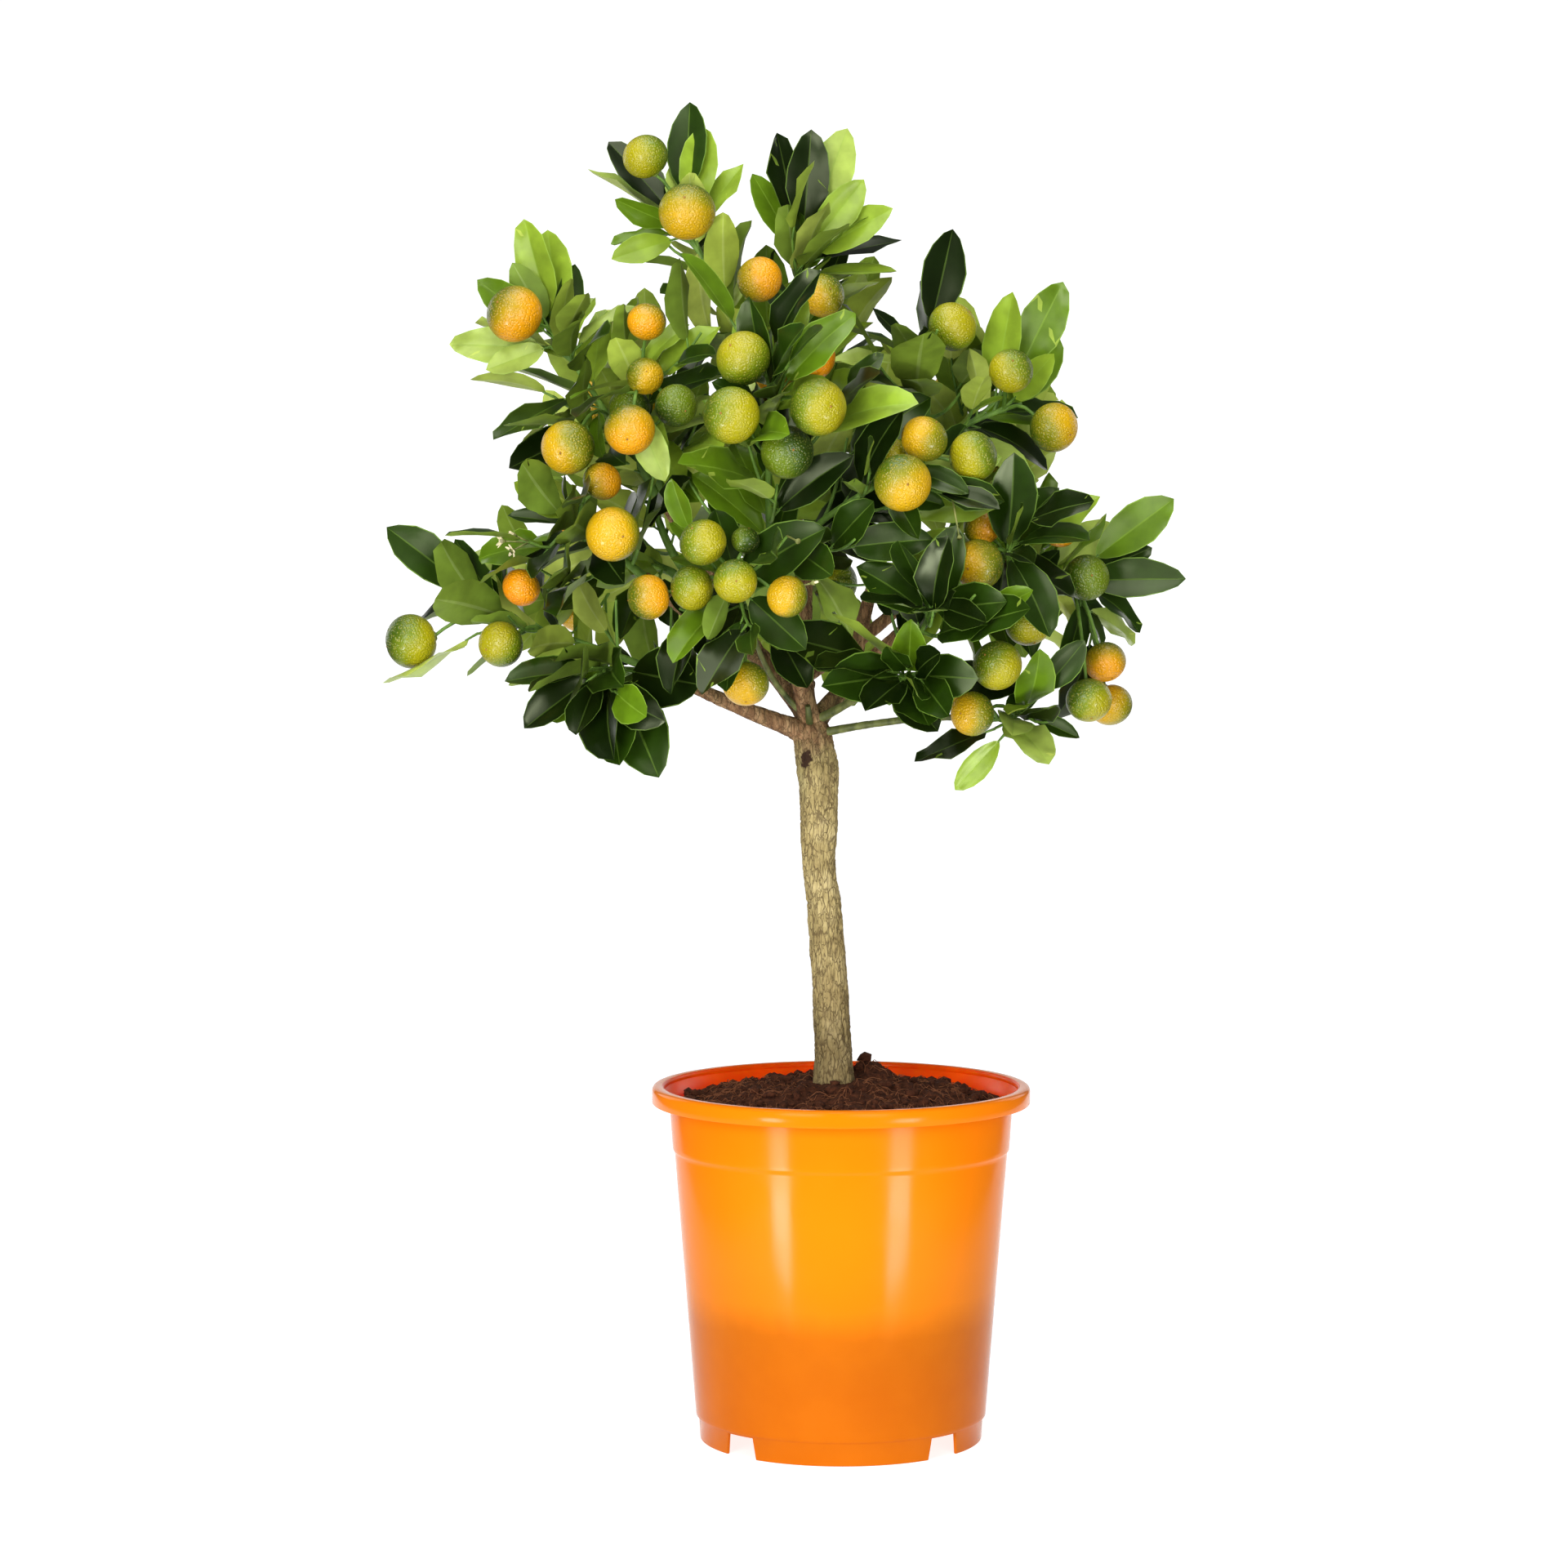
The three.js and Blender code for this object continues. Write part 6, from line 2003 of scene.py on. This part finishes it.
@dataclass
class LeafBlank:
    """One leaf as a grid of shares, which every leaf of the plant is bent from."""

    upper: tuple[float, ...] = (-1, -0.95, -0.5, -0.04, 0.04, 0.5, 0.95, 1)
    lower: tuple[float, ...] = (-1, -0.07, 0.07, 1)
    rows: tuple[float, ...] = (0, 0.07, 0.2, 0.38, 0.58, 0.77, 0.92, 1)
    stem: float = 0.1
    thickness: float = 0.45
    fullness: float = 0.64
    cup: float = 0.9
    ripples: float = 11
    ripple_lag: float = 0.9
    rib_depth: float = 0.35
    under_rib_height: float = 0.4

    def __post_init__(self) -> None:
        """Makes the grid: each corner's share along and across, its layer, and the faces."""
        bm = bmesh.new()
        share = bm.verts.layers.float_vector.new("share")
        for columns, layer in ((self.upper, 1.0), (self.lower, 0.0)):
            self.sheet(bm, share, columns, layer)
        bm.verts.ensure_lookup_table()
        rim: dict[tuple[float, float], bmesh.types.BMVert] = {}
        pairs = {}
        for vert in bm.verts:
            along, across, _ = vert[share]
            end = along in (0.0, 1.0)
            if end or abs(across) == 1:
                first = rim.setdefault((along, 0.0 if end else across), vert)
                if first is not vert:
                    pairs[vert] = first
        bmesh.ops.weld_verts(bm, targetmap=pairs)
        shares = np.array([vert[share] for vert in bm.verts])
        self.along, self.across, self.layer = shares.T
        self.across[(self.along == 0) | (self.along == 1)] = 0
        self.outline = (np.abs(self.across) == 1) | (self.along == 0) | (self.along == 1)
        _, self.loops, self.sizes, self.parts = arrays_of(bm)

    def sheet(self, bm: BMesh, share: bmesh.types.BMLayerItem, columns: tuple[float, ...],
              layer: float) -> None:
        """Adds one sheet of the leaf to the grid.

        Args:
            bm: the bmesh that takes it.
            share: the layer of the corners' shares.
            columns: its corners' shares across.
            layer: 1 for the upper sheet, 0 for the lower.
        """
        across, along = len(columns) - 1, len(self.rows) - 1
        made = bmesh.ops.create_grid(bm, x_segments=across, y_segments=along, size=1)["verts"]
        for vert in made:
            column = round((vert.co.x + 1) / 2 * across)
            row = round((vert.co.y + 1) / 2 * along)
            vert[share] = (self.rows[row], columns[column], layer)
            vert.co = (columns[column], self.rows[row], layer)
        faces = {face for vert in made for face in vert.link_faces}
        for face in faces:
            middle = abs(sum(vert.co.x for vert in face.verts) / len(face.verts))
            if layer:
                part = LeafPart.RIB if middle < 0.02 else LeafPart.EDGE if middle > 0.94 else LeafPart.BLADE
            else:
                part = LeafPart.UNDER_RIB if middle < 0.02 else LeafPart.UNDER
            face.material_index = part.value
        if not layer:
            bmesh.ops.reverse_faces(bm, faces=list(faces))

    def bend(self, leaf: Leaf) -> Array:
        """Bends the blank into one leaf: its outline, curl, fold, cup, ripples, thickness and ribs.

        Args:
            leaf: the leaf.

        Returns:
            Its corners.
        """
        form, off_middle = leaf.form, np.abs(self.across)
        swell = np.clip(np.sin(math.pi * np.clip(self.along, 0, 1) ** form.belly), 0, 1) ** self.fullness
        across = self.across * (swell * leaf.width / 2)
        blade, turn = leaf.length * (1 - self.stem), form.bend * self.along
        forward = blade * np.sin(turn) / form.bend
        down = -blade * (1 - np.cos(turn)) / form.bend
        ripple = np.sin(self.along * self.ripples + form.phase + np.sign(self.across) * self.ripple_lag)
        lift = np.abs(across) * math.sin(form.fold) - across**2 / leaf.width * self.cup * form.fold
        lift = lift + form.wave * leaf.length * off_middle * ripple
        above = self.layer > 0.5
        sunk = np.where(above, 0, self.thickness) + np.where(above & (off_middle < 0.05), self.rib_depth, 0)
        sunk = sunk + np.where(~above & (off_middle < 0.08), self.under_rib_height, 0)
        lift = lift - np.where(self.outline, 0, sunk)
        start = leaf.root + leaf.axis * leaf.length * self.stem
        along = np.outer(forward + lift * np.sin(turn), leaf.axis)
        up = np.outer(down + lift * np.cos(turn), leaf.normal)
        return start + along + np.outer(across * math.cos(form.fold), leaf.side) + up


@dataclass
class Foliage:
    """All leaves, dealt into pieces, with a tone for each leaf."""

    ground: Ground
    grower: Grower
    names: tuple[str, ...] = ("dark", "deep", "middle", "fresh", "light")
    # The dark and deep tones are partly the dark leaves' own colour and partly painted shade, made darker
    # for leaves deep inside the crown.
    tones: tuple[Tone, ...] = ((12, 26, 2), (30, 52, 5), (84, 114, 16), (128, 154, 42), (152, 172, 76))
    under: tuple[Tone, ...] = ((104, 128, 42), (118, 142, 46), (138, 160, 56), (156, 174, 66),
                               (176, 192, 86))
    rib: Tone = (140, 170, 70)
    # The tone that each leaf's edge strip is tinted towards: a painted highlight along the margin.
    edge: Tone = (150, 184, 80)

    def materials(self) -> list[Material]:
        """Returns the materials, five parts for each tone."""
        made = []
        for name, tone, under in zip(self.names, self.tones, self.under):
            made += [
                LeafFinish(f"leaf_{name}", tone, 0.3, 0.4).make(),
                # The edge strip, tinted paler: a painted highlight along the margin.
                LeafFinish(f"leaf_edge_{name}", tinted(tone, self.edge, 0.55), 0.45).make(),
                LeafFinish(f"leaf_rib_{name}", tinted(tone, self.rib, 0.35), 0.4).make(),
                LeafFinish(f"leaf_under_{name}", under, 0.5).make(),
                LeafFinish(f"leaf_under_rib_{name}", tinted(under, (255, 255, 255), 0.12), 0.5).make(),
            ]
        return made

    def build(self) -> None:
        """Bends every leaf from the blank and joins them by side of the crown."""
        blank = LeafBlank()
        materials = self.materials()
        groups: dict[str, list[str]] = {}
        for mass in MASSES:
            key = mass.name.split("_")[0]
            key = {"far": mass.name, "low": mass.name, "spire": "spires", "front": "centre"}.get(key, key)
            groups.setdefault(key, []).append(mass.name)
        for key, names in groups.items():
            heap = Heap()
            for leaf in (leaf for name in names for leaf in self.grower.leaves[name]):
                slots = blank.parts + len(LeafPart) * leaf.form.tone
                heap.add(blank.bend(leaf), blank.loops, blank.sizes, slots)
            mesh = heap.mesh(f"leaves_{key}", self.ground)
            self.sharpen(mesh, blank)
            finished(f"leaves_{key}", mesh, materials, [f"foliage_{name}" for name in names])

    def sharpen(self, mesh: Mesh, blank: LeafBlank) -> None:
        """Makes each leaf's outline a sharp edge between its two faces.

        Args:
            mesh: leaves in a row, all bent from the blank.
            blank: the blank.
        """
        ends = np.zeros(len(mesh.edges) * 2, np.int32)
        mesh.edges.foreach_get("vertices", ends)
        at_rim = blank.outline[ends.reshape(-1, 2) % len(blank.outline)].all(1)
        sharp = mesh.attributes.new("sharp_edge", "BOOLEAN", "EDGE")
        sharp.data.foreach_set("value", at_rim)


@dataclass
class Twigs:
    """Leaders, side shoots, fruit stalks and leaf stalks."""

    ground: Ground
    grower: Grower
    leaf_stalk: tuple[tuple[float, float], ...] = ((0, 0.85), (0.14, 0.6))

    def build(self) -> None:
        """Builds the twigs as one piece, woody in the thick leaders, and the leaf stalks as another."""
        strands = Strands("twigs", self.ground, 2)
        for twig in (twig for twigs in self.grower.twigs.values() for twig in twigs):
            places = twig.line.spaced(7)
            shares = np.linspace(0, 1, len(places))
            strands.add(places, mix(twig.thick, twig.thin, shares**0.8), int(twig.woody))
        self.piece(strands)
        strands = Strands("leaf_stalks", self.ground, 1)
        for leaf in (leaf for leaves in self.grower.leaves.values() for leaf in leaves):
            places = [leaf.root + leaf.axis * leaf.length * share - leaf.normal * 0.3
                      for share, _ in self.leaf_stalk]
            strands.add(places, [radius for _, radius in self.leaf_stalk])
        self.piece(strands)

    def piece(self, strands: Strands) -> None:
        """Dresses strands as a piece, green and brown.

        Args:
            strands: the strands, which carry the piece's name.
        """
        name = strands.curve.name
        green = TwigFinish(f"{name}_green", (110, 146, 56), (74, 106, 36)).make()
        brown = TwigFinish(f"{name}_brown", (122, 116, 66), (72, 70, 36)).make()
        finished(name, strands.mesh(), [green, brown], [])


class Ripeness(Enum):
    """The peel colours: unripe, half ripe and ripe."""

    GREEN = ((38, 58, 6), (58, 82, 10), (94, 114, 16))
    LIME = ((62, 84, 8), (106, 122, 12), (158, 150, 14))
    GOLD = ((72, 92, 8), (136, 130, 12), (200, 156, 12))
    ORANGE = ((84, 96, 8), (168, 136, 10), (218, 148, 8))
    RED_ORANGE = ((214, 150, 10), (228, 146, 6), (232, 138, 4))

    @classmethod
    def of(cls, ripeness: float) -> int:
        """Returns the number of the colours for a ripeness from 0 to 1."""
        return int(np.searchsorted((0.28, 0.5, 0.66, 0.94), ripeness))


@dataclass
class Fruits:
    """Round fruit, flattened at the poles, with a calyx and a scar."""

    ground: Ground
    plan: Plan
    segments: int = 32
    rings: int = 20
    flatness: float = 0.93
    points: int = 5

    def ball(self) -> Arrays:
        """Returns the arrays of one fruit of radius one, its stalk end at +Z."""
        bm = bmesh.new()
        bmesh.ops.create_uvsphere(bm, u_segments=self.segments, v_segments=self.rings, radius=1)
        for vert in bm.verts:
            near = math.hypot(vert.co.x, vert.co.y)
            depth, width = (0.07, 0.2) if vert.co.z > 0 else (0.05, 0.1)
            dimple = depth * math.exp(-(near / width) ** 2)
            vert.co.z = vert.co.z * self.flatness - math.copysign(dimple, vert.co.z)
        return arrays_of(bm)

    def calyx(self) -> Arrays:
        """Returns the arrays of the small green star under the stalk, on a fruit of radius one."""
        bm = bmesh.new()
        bmesh.ops.create_cone(bm, cap_ends=True, segments=2 * self.points, radius1=0.3, radius2=0.12,
                              depth=0.1, matrix=Matrix.Translation((0, 0, 0.9)))
        for vert in bm.verts:
            angle = math.atan2(vert.co.y, vert.co.x)
            notch = round(angle * self.points / math.pi) % 2 == 0
            if notch and math.hypot(vert.co.x, vert.co.y) > 0.2:
                vert.co.x, vert.co.y = vert.co.x * 0.6, vert.co.y * 0.6
        corners, loops, sizes, slots = arrays_of(bm)
        return corners, loops, sizes, slots + len(Ripeness)

    def scar(self) -> Arrays:
        """Returns the arrays of the small brown scar opposite the stalk."""
        bm = bmesh.new()
        bmesh.ops.create_icosphere(bm, subdivisions=1, radius=0.055,
                                   matrix=Matrix.Translation((0, 0, -0.885)))
        corners, loops, sizes, slots = arrays_of(bm)
        return corners, loops, sizes, slots + len(Ripeness) + 1

    def build(self) -> None:
        """Builds the fruit in two pieces, for the front and for the back of the crown."""
        shapes = self.ball(), self.calyx(), self.scar()
        materials = [FruitFinish(f"peel_{peel.name.lower()}", *peel.value).make() for peel in Ripeness]
        materials.append(TwigFinish("calyx", (124, 140, 62), (86, 98, 44)).make())
        materials.append(PaleFinish("scar", (150, 112, 50)).make())
        for name, back in (("fruit_front", False), ("fruit_back", True)):
            heap, ripeness = Heap(), []
            for spray in self.plan.sprays:
                if spray.mass.name.startswith("back") == back:
                    for number, hung in enumerate(spray.fruit):
                        turn = self.turn(hung, spray.index + number)
                        for shape, shade in zip(shapes, (Ripeness.of(hung.ripeness), 0, 0)):
                            corners, loops, sizes, slots = shape
                            placed = corners @ turn.T * hung.radius + hung.centre
                            heap.add(placed, loops, sizes, slots + shade)
                            ripeness.append(np.full(len(corners), 0.5))
                        sun = self.sun(spray.index * 7 + number)
                        ripeness[-3] = 0.5 + 0.5 * (shapes[0][0] @ turn.T @ sun)
            mesh = heap.mesh(name, self.ground)
            layer = mesh.attributes.new("ripeness", "FLOAT", "POINT")
            layer.data.foreach_set("value", np.concatenate(ripeness).astype(np.float32))
            finished(name, mesh, materials, [])

    def turn(self, hung: Hung, number: int) -> Array:
        """Turns a fruit.

        Args:
            hung: the fruit.
            number: its number, which turns it round its stalk.

        Returns:
            The turn that brings +Z to its stalk.
        """
        way = unit(hung.stalk.at(1.0) - hung.centre)
        side = around(way, number * 2.1)
        return np.stack([side, np.cross(way, side), way], 1)

    def sun(self, number: int) -> Array:
        """Returns the side from which a fruit ripens, by its number."""
        return unit(np.array([math.cos(number * 2.4), -0.4, math.sin(number * 1.7) * 0.6 - 0.2]))


@dataclass(frozen=True)
class Bloom:
    """One blossom: its middle, its petals' length and how far they lean out, in degrees."""

    place: Place
    petal: float
    lean: float


@dataclass
class Blossom:
    """Small cream blossoms, and cups whose petals have dropped, on stalks of their own."""

    ground: Ground
    grower: Grower
    blooms: tuple[Bloom, ...] = (
        Bloom((-182, -66, 500), 5.5, 50), Bloom((-176, -66, 503), 4, 15), Bloom((-177, -68, 495), 5, 70),
        Bloom((60, -122, 503), 0, 0), Bloom((-25, -142, 501), 0, 0), Bloom((-17, -140, 479), 3.5, 8),
    )
    petals: int = 5
    petal_shape: Place = (0.08, 0.2, 0.5)
    cup_radii: tuple[float, float] = (0.64, 1.6)
    cup_depth: float = 2.4
    stalk_radii: tuple[float, float] = (0.6, 0.48)

    def build(self) -> None:
        """Builds all blossoms as one piece."""
        bm = bmesh.new()
        twigs = [twig for twigs in self.grower.twigs.values() for twig in twigs]
        places = np.vstack([twig.line.spaced(5) for twig in twigs])
        for bloom in self.blooms:
            self.bloom(bm, bloom, places[np.argmin(np.linalg.norm(places - bloom.place, axis=1))])
        for face in bm.faces:
            face.normal_update()
        bmesh.ops.recalc_face_normals(bm, faces=bm.faces)
        self.ground.place(bm)
        cup = TwigFinish("cup", (150, 152, 84), (96, 104, 50)).make()
        cream = PaleFinish("petal", (238, 226, 184), 0.6).make()
        finished("blossom", mesh_of(bm, "blossom"), [cup, cream], [])

    def bloom(self, bm: BMesh, bloom: Bloom, foot: Array) -> None:
        """Adds one blossom.

        Args:
            bm: the bmesh that takes it.
            bloom: its place and petals.
            foot: where its stalk leaves a twig.
        """
        head = Vector(bloom.place)
        cup = Matrix.Translation(head) @ rod(bm, Vector(foot), head, self.stalk_radii, 8)
        bmesh.ops.create_cone(bm, cap_ends=True, segments=10, radius1=self.cup_radii[0],
                              radius2=self.cup_radii[1], depth=self.cup_depth, matrix=cup)
        for i in range(self.petals if bloom.petal else 0):
            lean = Matrix.Rotation(math.radians(bloom.lean), 4, "Y")
            lift = Matrix.Translation((0, 0, bloom.petal / 2))
            shape = Matrix.Diagonal((*(share * bloom.petal for share in self.petal_shape), 1))
            where = cup @ Matrix.Rotation(2 * math.pi * i / self.petals, 4, "Z") @ lean @ lift @ shape
            made = bmesh.ops.create_icosphere(bm, subdivisions=2, radius=1, matrix=where)["verts"]
            for face in {face for vert in made for face in vert.link_faces}:
                face.material_index = 1


# ---- camera and light


@dataclass(frozen=True)
class Lamp:
    """A soft rectangular lamp that faces the pot's axis at a height."""

    name: str
    place: Place
    size: tuple[float, float]
    power: float
    aim: float = 400


@dataclass
class Studio:
    """A plain white floor, soft lamps and the camera."""

    ground: Ground
    camera_pitch: float = 3.83
    focal: float = 100
    floor_front: float = -312
    floor_level: float = -0.05
    floor_back: float = 3000
    floor_near: float = 840
    floor_far: float = 2300
    backdrop_height: float = 1500
    backdrop_bend: float = 300
    bend_steps: int = 12
    floor_glow: float = 0.83
    surroundings: float = 0.1
    lamps: tuple[Lamp, ...] = (
        Lamp("key_left", (-660, -1430, 640), (640, 1100), 19),
        Lamp("key_right", (460, -1540, 640), (640, 1100), 12),
        Lamp("strip_left", (-1060, -1150, -390), (330, 300), 12.5, 120),
        Lamp("strip_right", (1000, -1200, -390), (400, 320), 12, 120),
        Lamp("top_light", (-200, -300, 1900), (1500, 1500), 28),
        Lamp("back_left", (-1150, 1200, 800), (700, 900), 4),
        Lamp("back_right", (1150, 1200, 800), (700, 900), 4),
    )

    def build(self) -> None:
        """Sets up the floor, the camera, the sky and the lamps."""
        self.floor()
        self.camera()
        self.sky()
        bpy.context.scene.view_settings.view_transform = "Standard"
        for lamp in self.lamps:
            self.light(lamp)

    def sky(self) -> None:
        """Makes even, dim surroundings."""
        world = bpy.data.worlds.new("studio")
        world.use_nodes = True
        background = world.node_tree.nodes["Background"]
        background.inputs["Color"].default_value = (1, 1, 1, 1)
        background.inputs["Strength"].default_value = self.surroundings
        bpy.context.scene.world = world

    def floor(self) -> None:
        """Lays the floor, from just in front of the camera's view to the backdrop that it bends up into."""
        bm = bmesh.new()
        angles = (math.pi / 2 * i / self.bend_steps for i in range(self.bend_steps + 1))
        bends = [(self.floor_back + self.backdrop_bend * math.sin(angle),
                  self.backdrop_bend * (1 - math.cos(angle))) for angle in angles]
        outline = [(self.floor_front, 0), *bends, (bends[-1][0], self.backdrop_height)]
        verts = [bm.verts.new((-self.half_floor(y), y, z + self.floor_level)) for y, z in outline]
        edges = [bm.edges.new(pair) for pair in zip(verts, verts[1:])]
        made = bmesh.ops.extrude_edge_only(bm, edges=edges)["geom"]
        for vert in (part for part in made if isinstance(part, bmesh.types.BMVert)):
            vert.co.x *= -1
        bmesh.ops.recalc_face_normals(bm, faces=bm.faces)
        self.ground.place(bm)
        floor = linked("floor", mesh_of(bm, "floor"))
        floor.data.materials.append(PaleFinish("white_floor", (180, 180, 180), 0.9, self.floor_glow).make())

    def half_floor(self, y: float) -> float:
        """Returns half the floor's width at a distance behind the pot's axis."""
        share = (y - self.floor_front) / (self.floor_back - self.floor_front)
        return mix(self.floor_near, self.floor_far, share) / 2

    def camera(self) -> None:
        """Sets the camera."""
        data = bpy.data.cameras.new("camera")
        data.lens, data.sensor_width = self.focal, 36
        data.clip_start, data.clip_end = 0.05, 50
        camera = linked("camera", data)
        camera.location = self.ground.metres((VIEW.middle[0], -VIEW.distance, VIEW.middle[1]))
        camera.rotation_euler = (math.radians(90 - self.camera_pitch), 0, 0)
        bpy.context.scene.camera = camera

    def light(self, lamp: Lamp) -> None:
        """Hangs a lamp.

        Args:
            lamp: the lamp.
        """
        data = bpy.data.lights.new(lamp.name, "AREA")
        data.shape, data.energy = "RECTANGLE", lamp.power
        data.size, data.size_y = (side * MM for side in lamp.size)
        item = linked(lamp.name, data)
        item.location = self.ground.metres(lamp.place)
        way = Vector(self.ground.metres((0, 0, lamp.aim))) - item.location
        item.rotation_euler = way.to_track_quat("-Z", "Y").to_euler()


# ---- the whole plant


def main() -> None:
    """Builds the whole plant in its pot, and the studio round it."""
    logging.basicConfig(level=logging.INFO, format="%(message)s")
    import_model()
    ground = Ground()
    plan = Plan(Growth())
    Studio(ground).build()
    Pot(ground).build()
    Soil(ground).build()
    Woodwork(ground, plan).build()
    grower = Grower(plan)
    grower.grow()
    Foliage(ground, grower).build()
    Twigs(ground, grower).build()
    Fruits(ground, plan).build()
    Blossom(ground, grower).build()


if __name__ == "__main__":
    main()
